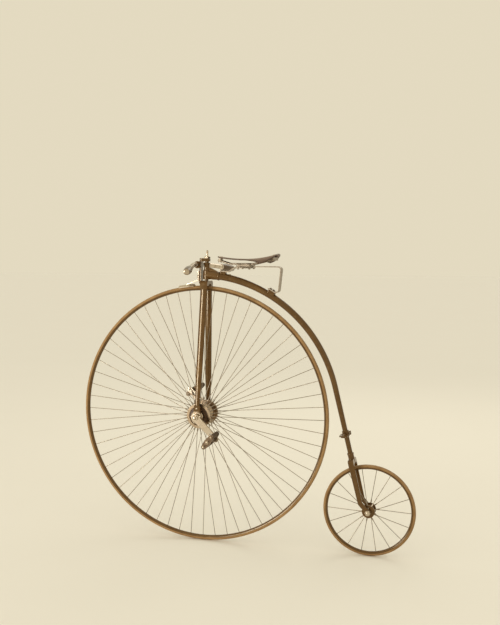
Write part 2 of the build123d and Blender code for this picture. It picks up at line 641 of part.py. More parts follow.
# Brake spoon: a curved plate over the tyre, on an arm from the plunger in front of the head
PLUNGER_X = PLATE_FRONT + LEVER_DIAMETER / 2 + SEAT_GAP
LEVER_HEIGHT = BAR_HEIGHT - LEVER_BELOW_BAR
with BuildPart() as brake_spoon:
    tyre_line = FRONT_RADIUS - FRONT_TYRE_SECTION / 2
    spoon_inner = FRONT_TYRE_SECTION / 2 + MOVING_GAP
    spoon_top = FRONT_RADIUS + MOVING_GAP + SPOON_THICKNESS
    spoon_normal = HEAD.x_dir.rotate(Axis.Y, SPOON_START)
    with BuildSketch(Plane(origin=FRONT_HUB, x_dir=(0, 1, 0), z_dir=spoon_normal)):
        with Locations((0, tyre_line)):
            Circle(spoon_inner + SPOON_THICKNESS)
            Circle(spoon_inner, mode=Mode.SUBTRACT)
        with Locations((0, tyre_line - 2 * spoon_inner + spoon_inner * 0.35)):
            Rectangle(4 * spoon_inner, 4 * spoon_inner, mode=Mode.SUBTRACT)
    revolve(axis=axle_line(FRONT_HUB), revolution_arc=SPOON_SWEEP)
    spoon_angle = radians(SPOON_START + SPOON_SWEEP / 2)
    with BuildSketch(HEAD_SIDE):
        with BuildLine():
            Polyline(
                (PLUNGER_X, spoon_top + 14),
                (PLUNGER_X + 10, spoon_top + 12),
                (spoon_top * sin(spoon_angle), spoon_top * cos(spoon_angle)),
            )
            offset(amount=SPOON_ARM_THICKNESS / 2, side=Side.BOTH)
        make_face()
    extrude(amount=SPOON_ARM_WIDTH / 2, both=True)
    with BuildSketch(head_plane(spoon_top + 12)):
        with Locations((PLUNGER_X, 0)):
            Circle(PLUNGER_DIAMETER / 2)
    extrude(amount=LEVER_HEIGHT - LEVER_DIAMETER / 2 - spoon_top - 12)
save(brake_spoon.part, "brake_spoon")

# Brake lever: from the plunger's top out under the right side of the bar
with BuildPart() as brake_lever:
    with BuildLine() as lever_path:
        FilletPolyline(
            head_point(PLUNGER_X, BAR_LUG_WIDTH / 4, LEVER_HEIGHT),
            head_point(PLUNGER_X, -BAR_STRAIGHT / 2, LEVER_HEIGHT),
            head_point(
                PLUNGER_X - BAR_SWEEP_BACK, LEVER_SHORT_OF_BAR - BAR_WIDTH / 2, LEVER_HEIGHT - BAR_DROP
            ),
            radius=BAR_BEND_RADIUS,
        )
    with BuildSketch(lever_path.line ^ 0):
        Circle(LEVER_DIAMETER / 2)
    sweep()
save(brake_lever.part, "brake_lever")

# Backbone
LEAN = radians(REAR_FORK_LEAN)
FORK_UP = Vector(sin(LEAN), 0, cos(LEAN))
FORK_BACK = Vector(-cos(LEAN), 0, sin(LEAN))
FORK_BASE = REAR_HUB - FORK_BACK * REAR_FORK_LEAD
NECK_END = head_point(-NECK_LENGTH, 0, NECK_HEIGHT)


def arc_centre():
    """Centre of the arc that passes through the neck's end and touches the rear fork's line."""
    foot = FORK_BASE - FORK_BACK * BACKBONE_RADIUS
    gap = foot - NECK_END
    half = gap.dot(FORK_UP)
    reach = half * half - gap.dot(gap) + BACKBONE_RADIUS ** 2
    return foot - FORK_UP * (half + sqrt(reach))


ARC_CENTRE = arc_centre()
TANGENT = ARC_CENTRE + FORK_BACK * BACKBONE_RADIUS
REAR_CROWN_UNDER = sqrt(REAR_RADIUS ** 2 - REAR_FORK_LEAD ** 2) + REAR_CROWN_GAP
REAR_CROWN_TOP = REAR_CROWN_UNDER + REAR_CROWN_THICKNESS
BACKBONE_END = FORK_BASE + FORK_UP * (REAR_CROWN_TOP + REAR_SOCKET_LENGTH)


def arc_angle(point):
    return atan2(point.Z - ARC_CENTRE.Z, point.X - ARC_CENTRE.X)


ARC_LENGTH = BACKBONE_RADIUS * (arc_angle(TANGENT) - arc_angle(NECK_END))
BACKBONE_LENGTH = ARC_LENGTH + (TANGENT - BACKBONE_END).length


def backbone_radius(distance):
    """Radius of the tapered tube at a distance along it from the neck."""
    share = distance / BACKBONE_LENGTH
    return (BACKBONE_TOP_DIAMETER * (1 - share) + BACKBONE_END_DIAMETER * share) / 2


with BuildPart() as backbone:
    with BuildLine() as arc_path:
        middle = (arc_angle(NECK_END) + arc_angle(TANGENT)) / 2
        ThreePointArc(NECK_END, ARC_CENTRE + Vector(cos(middle), 0, sin(middle)) * BACKBONE_RADIUS, TANGENT)
    for share in (0.0, 0.5, 1.0):
        with BuildSketch(arc_path.line ^ share):
            Circle(backbone_radius(ARC_LENGTH * share))
    sweep(path=arc_path.line, multisection=True)
    with BuildSketch(Plane(origin=TANGENT, z_dir=-FORK_UP)):
        Circle(backbone_radius(ARC_LENGTH))
    with BuildSketch(Plane(origin=BACKBONE_END, z_dir=-FORK_UP)):
        Circle(BACKBONE_END_DIAMETER / 2)
    loft(ruled=True)
save(backbone.part, "backbone")

# Neck: a waisted boss turned with the spindle's two cones, a socket for the backbone and a sloping web
NECK_WAIST_LOW = NECK_BOTTOM + NECK_SOCKET_DIAMETER
with BuildPart() as neck:
    with BuildSketch(HEAD_SIDE):
        with BuildLine():
            Polyline(
                (0, CROWN_TOP - SPINDLE_DEPTH),
                (CONE_TIP_DIAMETER / 2, CROWN_TOP - SPINDLE_DEPTH),
                (SPINDLE_DIAMETER / 2, CROWN_TOP),
                (SPINDLE_DIAMETER / 2, NECK_BOTTOM),
                (NECK_DIAMETER / 2, NECK_BOTTOM),
                (NECK_DIAMETER / 2, NECK_WAIST_LOW),
                (NECK_WAIST_DIAMETER / 2, NECK_WAIST_LOW + 6),
                (NECK_WAIST_DIAMETER / 2, NECK_TOP - 9),
                (NECK_DIAMETER / 2 - 2, NECK_TOP - 6),
                (NECK_DIAMETER / 2 - 2, NECK_TOP),
                (SPINDLE_DIAMETER / 2, NECK_TOP),
                (SPINDLE_DIAMETER / 2, BRIDGE_UNDER),
                (CONE_TIP_DIAMETER / 2, BRIDGE_UNDER + SPINDLE_DEPTH),
                (0, BRIDGE_UNDER + SPINDLE_DEPTH),
                close=True,
            )
        make_face()
    revolve(axis=STEERING_AXIS)
    socket_out = -(arc_path.line % 0)
    socket_radius = NECK_SOCKET_DIAMETER / 2
    with BuildSketch(Plane(origin=NECK_END, z_dir=socket_out)):
        Circle(socket_radius)
    extrude(amount=NECK_LENGTH)
    web_rise = NECK_LENGTH * tan(radians(NECK_WEB_SLOPE))
    with BuildSketch(HEAD_SIDE):
        with BuildLine():
            Polyline(
                (0, NECK_HEIGHT),
                (-NECK_LENGTH, NECK_HEIGHT),
                (-NECK_LENGTH, NECK_HEIGHT + socket_radius - 1),
                (-NECK_WAIST_DIAMETER / 3, NECK_HEIGHT + socket_radius - 1 + web_rise),
                (0, NECK_HEIGHT + socket_radius - 1 + web_rise),
                close=True,
            )
        make_face()
    extrude(amount=NECK_WEB_WIDTH / 2, both=True)
    with BuildSketch(head_plane(NECK_BOTTOM)):
        Rectangle(4 * NECK_LENGTH, 4 * NECK_LENGTH)
        Circle(SPINDLE_DIAMETER / 2, mode=Mode.SUBTRACT)
    extrude(amount=-CROWN_THICKNESS, mode=Mode.SUBTRACT)
    with BuildSketch(Plane(origin=NECK_END, z_dir=-socket_out)):
        Rectangle(4 * NECK_LENGTH, 4 * NECK_LENGTH)
    extrude(amount=CROWN_THICKNESS, mode=Mode.SUBTRACT)
save(neck.part, "neck")

# Rear fork crown: a socket for the backbone's end over an arch across the rear tyre
with BuildPart() as rear_crown:
    with BuildSketch(Plane(origin=FORK_BASE, x_dir=(0, 1, 0), z_dir=-FORK_BACK)):
        with Locations((0, REAR_CROWN_TOP - REAR_RADIUS / 2)):
            RectangleRounded(2 * REAR_END_OUT, REAR_RADIUS, REAR_CROWN_SHOULDER)
        with Locations((0, REAR_CROWN_UNDER - REAR_RADIUS / 2)):
            RectangleRounded(2 * REAR_END_IN, REAR_RADIUS, REAR_CROWN_SHOULDER, mode=Mode.SUBTRACT)
        with Locations((0, REAR_CROWN_UNDER - REAR_CROWN_LEG_DROP - REAR_RADIUS / 2)):
            Rectangle(4 * REAR_END_OUT, REAR_RADIUS, mode=Mode.SUBTRACT)
    extrude(amount=REAR_BLADE_TOP_DEPTH / 2, both=True)
    with BuildSketch(Plane(origin=FORK_BASE + FORK_UP * REAR_CROWN_UNDER, z_dir=FORK_UP)):
        Circle(BACKBONE_END_DIAMETER / 2 + REAR_SOCKET_WALL)
    extrude(amount=REAR_CROWN_THICKNESS + REAR_SOCKET_LENGTH)
save(rear_crown.part, "rear_fork_crown")

# Rear fork blades: flat, ahead of the axle, with a foot that bends back to the axle end
for side, sign in SIDES.items():
    middle = REAR_HUB + Vector(0, sign * REAR_BLADE_SPREAD / 2, 0)
    with BuildPart() as blade:
        with BuildSketch(Plane(origin=middle, x_dir=-FORK_BACK, z_dir=(0, -1, 0))):
            top = REAR_CROWN_UNDER - REAR_CROWN_LEG_DROP
            knee = (REAR_FORK_LEAD, REAR_KNEE_HEIGHT)
            with BuildLine():
                Polyline(
                    (REAR_FORK_LEAD - REAR_BLADE_TOP_DEPTH / 2, top),
                    (REAR_FORK_LEAD + REAR_BLADE_TOP_DEPTH / 2, top),
                    (REAR_FORK_LEAD + REAR_BLADE_FOOT_DEPTH / 2, REAR_KNEE_HEIGHT),
                    (REAR_FORK_LEAD - REAR_BLADE_FOOT_DEPTH / 2, REAR_KNEE_HEIGHT),
                    close=True,
                )
            make_face()
            slope = degrees(atan2(REAR_KNEE_HEIGHT, REAR_FORK_LEAD))
            with Locations((knee[0] / 2, knee[1] / 2)):
                SlotCenterToCenter(hypot(*knee), REAR_BLADE_FOOT_DEPTH, rotation=slope)
            Circle(REAR_END_DIAMETER / 2)
        extrude(amount=REAR_BLADE_WIDTH / 2, both=True)
        side_edges = blade.edges().filter_by(Axis.Y, reverse=True)
        fillet(side_edges.sort_by(Axis(REAR_HUB, FORK_UP))[:-2], REAR_BLADE_EDGE_RADIUS)
        with BuildSketch(wheel_side(REAR_HUB, sign * REAR_BLADE_SPREAD / 2)):
            Circle(REAR_AXLE_DIAMETER / 2 + FIXED_FIT)
        extrude(amount=REAR_BLADE_WIDTH, both=True, mode=Mode.SUBTRACT)
    save(blade.part, f"rear_fork_{side}")

# Rear axle, fixed in the fork ends, and its domed nuts
AXLE_STUB = NUT_THICKNESS + 2
with BuildPart() as rear_axle:
    with BuildSketch(wheel_side(REAR_HUB)):
        Circle(REAR_AXLE_DIAMETER / 2)
    extrude(amount=REAR_END_OUT + AXLE_STUB, both=True)
save(rear_axle.part, "rear_axle")

with BuildPart() as rear_nuts:
    for sign in SIDES.values():
        base = REAR_END_OUT + SEAT_GAP
        with BuildSketch(wheel_side(REAR_HUB, sign * base)):
            RegularPolygon(REAR_NUT_DIAMETER / 2, 6)
        extrude(amount=-sign * NUT_THICKNESS)
        with BuildSketch(wheel_side(REAR_HUB, sign * base)):
            Circle(REAR_NUT_DOME_DIAMETER / 2)
        extrude(amount=-sign * (NUT_THICKNESS + REAR_NUT_DOME_HEIGHT))
        outermost = -1 if sign > 0 else 0
        fillet(rear_nuts.faces().sort_by(Axis.Y)[outermost].edges(), REAR_NUT_DOME_HEIGHT * 0.9)
        with BuildSketch(wheel_side(REAR_HUB, sign * REAR_END_OUT)):
            Circle(REAR_AXLE_DIAMETER / 2 + FIXED_FIT)
        extrude(amount=-sign * (AXLE_STUB + SEAT_GAP), mode=Mode.SUBTRACT)
save(rear_nuts.part, "rear_axle_nuts")

# Rear hub, which turns on the fixed axle
REAR_FLANGE_OUT = REAR_FLANGE_SPREAD / 2 + REAR_FLANGE_THICKNESS / 2
REAR_FLANGE_IN = REAR_FLANGE_OUT - REAR_FLANGE_THICKNESS
with BuildPart() as rear_hub:
    with BuildSketch(wheel_section(REAR_HUB)):
        with BuildLine():
            Polyline(
                (0, REAR_AXLE_DIAMETER / 2 + RUN_FIT),
                (0, REAR_BARREL_DIAMETER / 2),
                (REAR_FLANGE_IN - 6, REAR_BARREL_DIAMETER / 2),
                (REAR_FLANGE_IN, REAR_BARREL_DIAMETER / 2 + 8),
                (REAR_FLANGE_IN, REAR_FLANGE_DIAMETER / 2),
                (REAR_FLANGE_OUT, REAR_FLANGE_DIAMETER / 2),
                (REAR_FLANGE_OUT, REAR_BARREL_DIAMETER / 2),
                (REAR_END_IN - REAR_HUB_SIDE_GAP, REAR_BARREL_DIAMETER / 2 - 3),
                (REAR_END_IN - REAR_HUB_SIDE_GAP, REAR_AXLE_DIAMETER / 2 + RUN_FIT),
                close=True,
            )
        make_face()
    revolve(axis=axle_line(REAR_HUB))
    mirror(about=Plane.XZ)
save(rear_hub.part, "rear_hub")


# Saddle spring and its two seats on the backbone
def backbone_seat(behind_hub):
    """A seat's place on the backbone: point of the centre line, way out, way forward and tube radius."""
    dx = FRONT_HUB.X - behind_hub - ARC_CENTRE.X
    out = Vector(dx, 0, sqrt(BACKBONE_RADIUS ** 2 - dx ** 2))
    point = ARC_CENTRE + out
    tube = backbone_radius(BACKBONE_RADIUS * (arc_angle(point) - arc_angle(NECK_END)))
    out = out.normalized()
    return point, out, Vector(out.Z, 0, -out.X), tube


FRONT_SEAT = backbone_seat(SPRING_FRONT)
REAR_SEAT = backbone_seat(SPRING_REAR)

# Columns: name, seat, length, width
SPRING_SEATS = [
    ("spring_front_lug", FRONT_SEAT, 30.0, 24.0),
    ("spring_rear_shoe", REAR_SEAT, 36.0, 30.0),
]
for label, (point, out, forward, tube), length, width in SPRING_SEATS:
    with BuildPart() as lug:
        with BuildSketch(Plane(origin=point, x_dir=forward, z_dir=out)):
            RectangleRounded(length, width, 5)
        extrude(amount=tube + CLIP_HEIGHT - SPRING_THICKNESS / 2 - SEAT_GAP)
        with BuildSketch(Plane(origin=point, z_dir=forward)):
            Circle(tube + 2 * SEAT_GAP)
        extrude(amount=length, both=True, mode=Mode.SUBTRACT)
    save(lug.part, label)


def spring_point(seat, forward_by):
    """Point of the spring's middle line over a seat, in the side view."""
    point, out, forward, tube = seat
    spot = point + out * (tube + CLIP_HEIGHT) + forward * forward_by
    return spot.X, spot.Z


SPRING_Z = FRONT_HUB.Z + SPRING_TOP_HEIGHT
with BuildPart() as saddle_spring:
    with BuildSketch(Plane.XZ):
        with BuildLine():
            front = spring_point(FRONT_SEAT, -SPRING_FRONT_HEEL)
            rear = spring_point(REAR_SEAT, -SPRING_REAR_HEEL)
            FilletPolyline(
                spring_point(FRONT_SEAT, SPRING_FRONT_TOE),
                front,
                (front[0] - 3 * SPRING_BEND_RADIUS, SPRING_Z),
                (rear[0] - SPRING_BEND_RADIUS, SPRING_Z),
                rear,
                spring_point(REAR_SEAT, SPRING_REAR_TOE),
                radius=SPRING_BEND_RADIUS,
            )
            offset(amount=SPRING_THICKNESS / 2, side=Side.BOTH)
        make_face()
    extrude(amount=SPRING_WIDTH / 2, both=True)
save(saddle_spring.part, "saddle_spring")

# Saddle leather: crowned across, dipped along, with a narrow nose and a round cantle
NOSE_X = SADDLE_LENGTH * SADDLE_NOSE_SHARE
CANTLE_X = NOSE_X - SADDLE_LENGTH
WAIST_X = CANTLE_X + SADDLE_LENGTH * 0.52
HIP_X = CANTLE_X + SADDLE_LENGTH * 0.22
NOSE_HALF = SADDLE_NOSE_WIDTH / 2
HIP_HALF = SADDLE_REAR_WIDTH / 2
with BuildPart() as saddle_leather:
    for reach, rise in ((NOSE_X, NOSE_RISE), (CANTLE_X, CANTLE_RISE)):
        dip_radius = (reach ** 2 + rise ** 2) / (2 * rise)
        with BuildSketch(Plane.YZ):
            with Locations((0, -SADDLE_CROWN_RADIUS)):
                Circle(SADDLE_CROWN_RADIUS)
                Circle(SADDLE_CROWN_RADIUS - SADDLE_THICKNESS, mode=Mode.SUBTRACT)
            with Locations((0, -2 * SADDLE_CROWN_RADIUS)):
                Rectangle(4 * SADDLE_CROWN_RADIUS, 3.4 * SADDLE_CROWN_RADIUS, mode=Mode.SUBTRACT)
        turn = 1.3 * degrees(2 * rise / abs(reach))
        revolve(
            axis=Axis((0, 0, dip_radius), (0, -1 if reach > 0 else 1, 0)),
            revolution_arc=turn,
        )
    with BuildSketch(Plane.XY.offset(-SADDLE_LENGTH / 2)):
        with BuildLine():
            ThreePointArc((NOSE_X - NOSE_HALF, NOSE_HALF), (NOSE_X, 0), (NOSE_X - NOSE_HALF, -NOSE_HALF))
            for sign in SIDES.values():
                waist = (WAIST_X, sign * NOSE_HALF * 1.25)
                hip = (HIP_X, sign * HIP_HALF)
                Line((NOSE_X - NOSE_HALF, sign * NOSE_HALF), waist)
                ThreePointArc(waist, ((WAIST_X + HIP_X) / 2, sign * HIP_HALF * 0.6), hip)
                ThreePointArc(hip, (CANTLE_X + 16, sign * HIP_HALF * 0.74), (CANTLE_X, 0))
        make_face()
    extrude(amount=SADDLE_LENGTH, mode=Mode.INTERSECT)
save(saddle_leather.part, "saddle_leather")

# Saddle underframe: a clip on the spring, two rails, and the nose and cantle plates that stretch the leather
CLIP_Z = SPRING_Z + SPRING_THICKNESS / 2 + SEAT_GAP
RAIL_Z = CLIP_Z + CLIP_PLATE + RAIL_DIAMETER * 0.3
NOSE_PLATE_X = NOSE_X - NOSE_PLATE_INSET
CANTLE_PLATE_X = CANTLE_X + CANTLE_PLATE_INSET
CANTLE_Z = CANTLE_RISE - SADDLE_THICKNESS - CANTLE_PLATE_DROP
with BuildPart() as saddle_frame:
    with BuildSketch(Plane.XY.offset(CLIP_Z)):
        RectangleRounded(CLIP_PLATE_LENGTH, CLIP_PLATE_WIDTH, 8)
    extrude(amount=CLIP_PLATE)
    for sign in SIDES.values():
        with BuildLine() as rail:
            FilletPolyline(
                (NOSE_PLATE_X, sign * NOSE_PLATE_WIDTH * 0.3, -SADDLE_THICKNESS - RAIL_DIAMETER / 2),
                (NOSE_PLATE_X - RAIL_FALL, sign * CLIP_PLATE_WIDTH / 6, RAIL_Z),
                (-CLIP_PLATE_LENGTH * 0.6, sign * CLIP_PLATE_WIDTH * 0.4, RAIL_Z),
                (CANTLE_PLATE_X, sign * CANTLE_PLATE_WIDTH * 0.42, CANTLE_Z - CANTLE_PLATE_HEIGHT / 2),
                radius=RAIL_BEND_RADIUS,
            )
        with BuildSketch(rail.line ^ 0):
            Circle(RAIL_DIAMETER / 2)
        sweep(path=rail.line)
    with BuildSketch(Plane.XY.offset(-SADDLE_THICKNESS - NOSE_PLATE_HEIGHT / 2 - 3)):
        with Locations((NOSE_PLATE_X, 0)):
            RectangleRounded(NOSE_PLATE_LENGTH, NOSE_PLATE_WIDTH, NOSE_PLATE_LENGTH * 0.3)
    extrude(amount=NOSE_PLATE_HEIGHT)
    with BuildSketch(Plane.XY.offset(CANTLE_Z)):
        with Locations((CANTLE_PLATE_X, 0)):
            RectangleRounded(CANTLE_PLATE_LENGTH, CANTLE_PLATE_WIDTH, CANTLE_PLATE_LENGTH * 0.3)
    extrude(amount=-CANTLE_PLATE_HEIGHT)
save(saddle_frame.part, "saddle_frame")

# Mounting step: a clip round the backbone's straight stretch, and an arm to the left under a toothed tread
STEP_CENTRE = FORK_BASE + FORK_UP * STEP_DISTANCE
STEP_TUBE = backbone_radius(BACKBONE_LENGTH - (STEP_CENTRE - BACKBONE_END).length)
STEP_OUT = STEP_TUBE + STEP_LENGTH
TREAD_LENGTH = STEP_LENGTH - STEP_ARM_LENGTH
TEETH = int(TREAD_LENGTH / (2 * STEP_TOOTH))
with BuildPart() as mounting_step:
    with BuildSketch(Plane(origin=STEP_CENTRE, z_dir=FORK_UP)):
        Circle(STEP_TUBE + SEAT_GAP + STEP_CLIP_WALL)
    extrude(amount=STEP_CLIP_LENGTH / 2, both=True)
    with BuildSketch(Plane(origin=STEP_CENTRE, x_dir=(1, 0, 0), z_dir=(0, 0, 1))):
        with Locations((0, (STEP_OUT - STEP_TOOTH) / 2)):
            Rectangle(STEP_ARM_WIDTH, STEP_OUT - STEP_TOOTH)
    extrude(amount=-STEP_ARM_THICKNESS)
    with BuildSketch(Plane(origin=STEP_CENTRE, x_dir=(1, 0, 0), z_dir=(0, 0, 1))):
        with Locations((0, STEP_OUT - TREAD_LENGTH / 2)):
            RectangleRounded(STEP_WIDTH, TREAD_LENGTH, STEP_TOOTH * 0.8)
        for edge in (-STEP_WIDTH / 2, STEP_WIDTH / 2):
            with Locations((edge, STEP_OUT - TREAD_LENGTH / 2)):
                with GridLocations(0, TREAD_LENGTH / (TEETH + 1), 1, TEETH):
                    Rectangle(STEP_TOOTH, STEP_TOOTH, rotation=45, mode=Mode.SUBTRACT)
    extrude(amount=STEP_THICKNESS / 2, both=True)
    with BuildSketch(Plane(origin=STEP_CENTRE, z_dir=FORK_UP)):
        Circle(STEP_TUBE + SEAT_GAP)
    extrude(amount=STEP_LENGTH, both=True, mode=Mode.SUBTRACT)
save(mounting_step.part, "mounting_step")
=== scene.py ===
import json
import math

import bpy
from mathutils import Matrix, Vector
from mathutils.kdtree import KDTree


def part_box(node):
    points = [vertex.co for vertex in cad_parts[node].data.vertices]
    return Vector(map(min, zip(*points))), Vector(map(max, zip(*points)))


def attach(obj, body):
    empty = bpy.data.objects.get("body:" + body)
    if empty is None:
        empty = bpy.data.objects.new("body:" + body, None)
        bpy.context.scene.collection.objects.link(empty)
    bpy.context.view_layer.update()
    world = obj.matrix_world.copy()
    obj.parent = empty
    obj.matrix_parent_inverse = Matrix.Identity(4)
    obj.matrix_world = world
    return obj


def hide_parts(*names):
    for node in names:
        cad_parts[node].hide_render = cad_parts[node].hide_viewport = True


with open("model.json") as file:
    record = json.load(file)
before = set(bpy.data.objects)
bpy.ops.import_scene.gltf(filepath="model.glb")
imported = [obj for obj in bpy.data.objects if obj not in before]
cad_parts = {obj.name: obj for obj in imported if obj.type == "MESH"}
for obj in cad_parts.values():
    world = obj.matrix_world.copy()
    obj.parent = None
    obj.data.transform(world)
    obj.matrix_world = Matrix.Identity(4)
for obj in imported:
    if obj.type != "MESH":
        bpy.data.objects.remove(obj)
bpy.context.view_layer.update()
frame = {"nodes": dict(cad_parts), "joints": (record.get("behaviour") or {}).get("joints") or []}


# The bicycle stands on a pale plain floor, seen from its left and a little from behind, as the photograph
# shows it. The floor lies under both tyres, and the background has the tone that the far floor has.
FLOOR_SIZE = 80
FLOOR_GAP = 0.0006
FLOOR_COLOUR = (0.92, 0.855, 0.68)
FLOOR_CLOUDS = (0.91, 0.845, 0.67)
SKY_COLOUR = (0.84, 0.82, 0.78)
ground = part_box("front_tyre")[0].z


class Shade:
    """A shader socket. Arithmetic on it adds Math nodes, and add() makes any other node."""

    def __init__(self, tree, socket=None):
        self.tree = tree
        self.socket = socket

    def add(self, kind, settings=None, inputs=None, output=0):
        node = self.tree.nodes.new(kind)
        for key, value in (settings or {}).items():
            setattr(node, key, value)
        for key, value in (inputs or {}).items():
            if isinstance(value, Shade):
                self.tree.links.new(value.socket, node.inputs[key])
            else:
                node.inputs[key].default_value = value
        return Shade(self.tree, node.outputs[output])

    def math(self, operation, first, second):
        return self.add("ShaderNodeMath", {"operation": operation}, {0: first, 1: second})

    def __add__(self, other):
        return self.math("ADD", self, other)

    def __mul__(self, other):
        return self.math("MULTIPLY", self, other)

    def __sub__(self, other):
        return self.math("SUBTRACT", self, other)

    def __rsub__(self, other):
        return self.math("SUBTRACT", other, self)

    __radd__ = __add__
    __rmul__ = __mul__

    def place(self, stretch=(1, 1, 1)):
        """The point on the object, stretched along the axes."""
        point = self.add("ShaderNodeTexCoord", output=3)
        return self.add("ShaderNodeMapping", None, {"Vector": point, "Scale": stretch})

    def noise(self, scale, detail=4.0, stretch=(1, 1, 1)):
        """Noise, with its scale in waves per metre."""
        return self.add("ShaderNodeTexNoise", None,
                        {"Vector": self.place(stretch), "Scale": scale, "Detail": detail})

    def ramp(self, low, high):
        """This value taken from 0 at low to 1 at high."""
        return self.add("ShaderNodeMapRange", None, {"Value": self, "From Min": low, "From Max": high})

    def blend(self, first, second):
        """Colour that goes from first to second as this value goes from 0 to 1."""
        pair = {0: self, 6: first, 7: second}
        pair = {k: (*v, 1) if isinstance(v, tuple) and len(v) == 3 else v for k, v in pair.items()}
        return self.add("ShaderNodeMix", {"data_type": "RGBA"}, pair, output=2)

    def bump(self, height, strength, distance):
        """The surface's normal, tilted as a relief would: a height of 1 stands distance metres proud."""
        return self.add("ShaderNodeBump", None,
                        {"Strength": strength, "Distance": distance, "Height": height})


def new_material(name):
    """A material with its Principled shader, and a Shade that its nodes are made from."""
    material = bpy.data.materials.new(name)
    material.use_nodes = True
    return material, material.node_tree.nodes["Principled BSDF"], Shade(material.node_tree)


def plug(shader, name, value):
    """Sets a socket of the shader, or links a Shade to it."""
    if isinstance(value, Shade):
        value.tree.links.new(value.socket, shader.inputs[name])
    else:
        shader.inputs[name].default_value = value


def deselect():
    bpy.ops.object.select_all(action="DESELECT")


def settle(piece, name):
    """Puts a piece's place, turn and scale into its mesh and names it."""
    deselect()
    piece.select_set(True)
    bpy.context.view_layer.objects.active = piece
    bpy.ops.object.transform_apply(location=True, rotation=True, scale=True)
    piece.name = name
    return piece


def joint(name):
    """A joint of the frame, with its place and its axis."""
    return next(j for j in frame["joints"] if j["name"] == name)


deselect()
bpy.ops.mesh.primitive_grid_add(x_subdivisions=8, y_subdivisions=8, size=FLOOR_SIZE,
                                location=(0, 0, ground - FLOOR_GAP))
floor = settle(bpy.context.object, "studio_floor")
floor_paint, floor_shader, shade = new_material("floor_paint")
clouds = shade.noise(scale=1.5).ramp(0.2, 0.8)
plug(floor_shader, "Base Color", clouds.blend(FLOOR_COLOUR, FLOOR_CLOUDS))
plug(floor_shader, "Roughness", 0.9)
floor.data.materials.append(floor_paint)

studio = bpy.data.worlds.new("studio")
studio.use_nodes = True
bpy.context.scene.world = studio
sky = Shade(studio.node_tree)
rays = studio.node_tree.nodes.new("ShaderNodeLightPath")
seen = sky.math("MAXIMUM", Shade(sky.tree, rays.outputs["Is Camera Ray"]),
                Shade(sky.tree, rays.outputs["Is Glossy Ray"]))
far_floor = tuple(paint * light for paint, light in zip(FLOOR_COLOUR, SKY_COLOUR))
plug(studio.node_tree.nodes["Background"], "Color", seen.blend(SKY_COLOUR, far_floor))

# Columns: name, place, watts, width, height, colour
LAMPS = [
    ("window", (2.4, 3.2, 2.2), 10, 2.2, 2.2, (1.0, 0.96, 0.90)),
    ("tall_window", (2.41, 3.58, -0.40), 100, 1.15, 1.9, (1.0, 0.97, 0.92)),
    ("fill", (-3.4, 2.4, 1.0), 5, 2.4, 2.4, (1.0, 0.97, 0.93)),
    ("rim_light", (-0.6, -3.4, 2.0), 16, 2.0, 2.0, (1.0, 0.98, 0.95)),
]
LAMP_AIM = Vector((-0.15, 0, -0.5))
for name, place, watts, width, height, colour in LAMPS:
    lamp = bpy.data.lights.new(name, "AREA")
    lamp.shape = "RECTANGLE"
    lamp.energy = watts
    lamp.size = width
    lamp.size_y = height
    lamp.color = colour
    stand = bpy.data.objects.new(name, lamp)
    bpy.context.scene.collection.objects.link(stand)
    stand.location = place
    stand.rotation_euler = (LAMP_AIM - stand.location).to_track_quat("-Z", "Y").to_euler()

# The tall window is there for the long gleam on each tube. It stands near the floor, and would glare on it.
all_but_floor = bpy.data.collections.new("all_but_floor")
all_but_floor.objects.link(floor)
all_but_floor.collection_objects[0].light_linking.link_state = "EXCLUDE"
bpy.data.objects["tall_window"].light_linking.receiver_collection = all_but_floor

# The camera looks right across the bicycle and a little forward, in the shares LOOK_RIGHT and LOOK_FORWARD.
# The horizon's height and the lens's length are also given in pixels of the photograph's frame, 500 by 625.
LENS = 48.9
LENS_PIXELS = 849
HORIZON_PIXELS_ABOVE_MIDDLE = 63.5
LOOK_RIGHT = 0.961
LOOK_FORWARD = 0.276
CAMERA_BEHIND_REAR_HUB = 0.522
CAMERA_LEFT = 3.77
CAMERA_HEIGHT = 1.39
heading = math.atan2(LOOK_FORWARD, LOOK_RIGHT)
dip = math.atan2(HORIZON_PIXELS_ABOVE_MIDDLE, LENS_PIXELS)
rear_hub = Vector(joint("rear_wheel_spin")["pos_m"])
camera = bpy.data.objects.new("camera", bpy.data.cameras.new("camera"))
bpy.context.scene.collection.objects.link(camera)
camera.data.lens = LENS
camera.location = (rear_hub.x - CAMERA_BEHIND_REAR_HUB, CAMERA_LEFT, ground + CAMERA_HEIGHT)
look = Vector((math.sin(heading), -math.cos(heading), -math.tan(dip)))
camera.rotation_euler = look.to_track_quat("-Z", "Y").to_euler()
bpy.context.scene.camera = camera
bpy.context.scene.view_settings.view_transform = "Standard"


# Solid rubber tyres, round in section, cemented into the rims. The rubber has aged to a warm brown. Its
# running face is worn pale and dusty, and the mould's seam shows along the middle where it is less worn.
front_hub = Vector(joint("steering")["pos_m"])
# Columns: wheel, tones of the dark rubber, the light rubber and the dust, hub, radius
TYRES = [
    ("front", (0.225, 0.118, 0.036), (0.330, 0.195, 0.076), (0.420, 0.300, 0.165), front_hub, 0.6095),
    # The rear tyre's three tones are the front's made about a tenth darker: painted shade on the same rubber.
    ("rear", (0.200, 0.104, 0.031), (0.300, 0.174, 0.066), (0.380, 0.265, 0.142), rear_hub, 0.210),
]
# Depths below the tread at which wear starts and at which it is full
WEAR_STARTS = 0.0045
WEAR_FULL = 0.0008
# Half the width of the mould's seam at its foot and at its crest
SEAM_FOOT = 0.0009
SEAM_CREST = 0.0003


def from_axle(shade, hub):
    """Distance from an axle, which runs across the bicycle."""
    flat = shade.place((1, 0, 1))
    return shade.add("ShaderNodeVectorMath", {"operation": "DISTANCE"}, {0: flat, 1: (hub.x, 0, hub.z)}, 1)


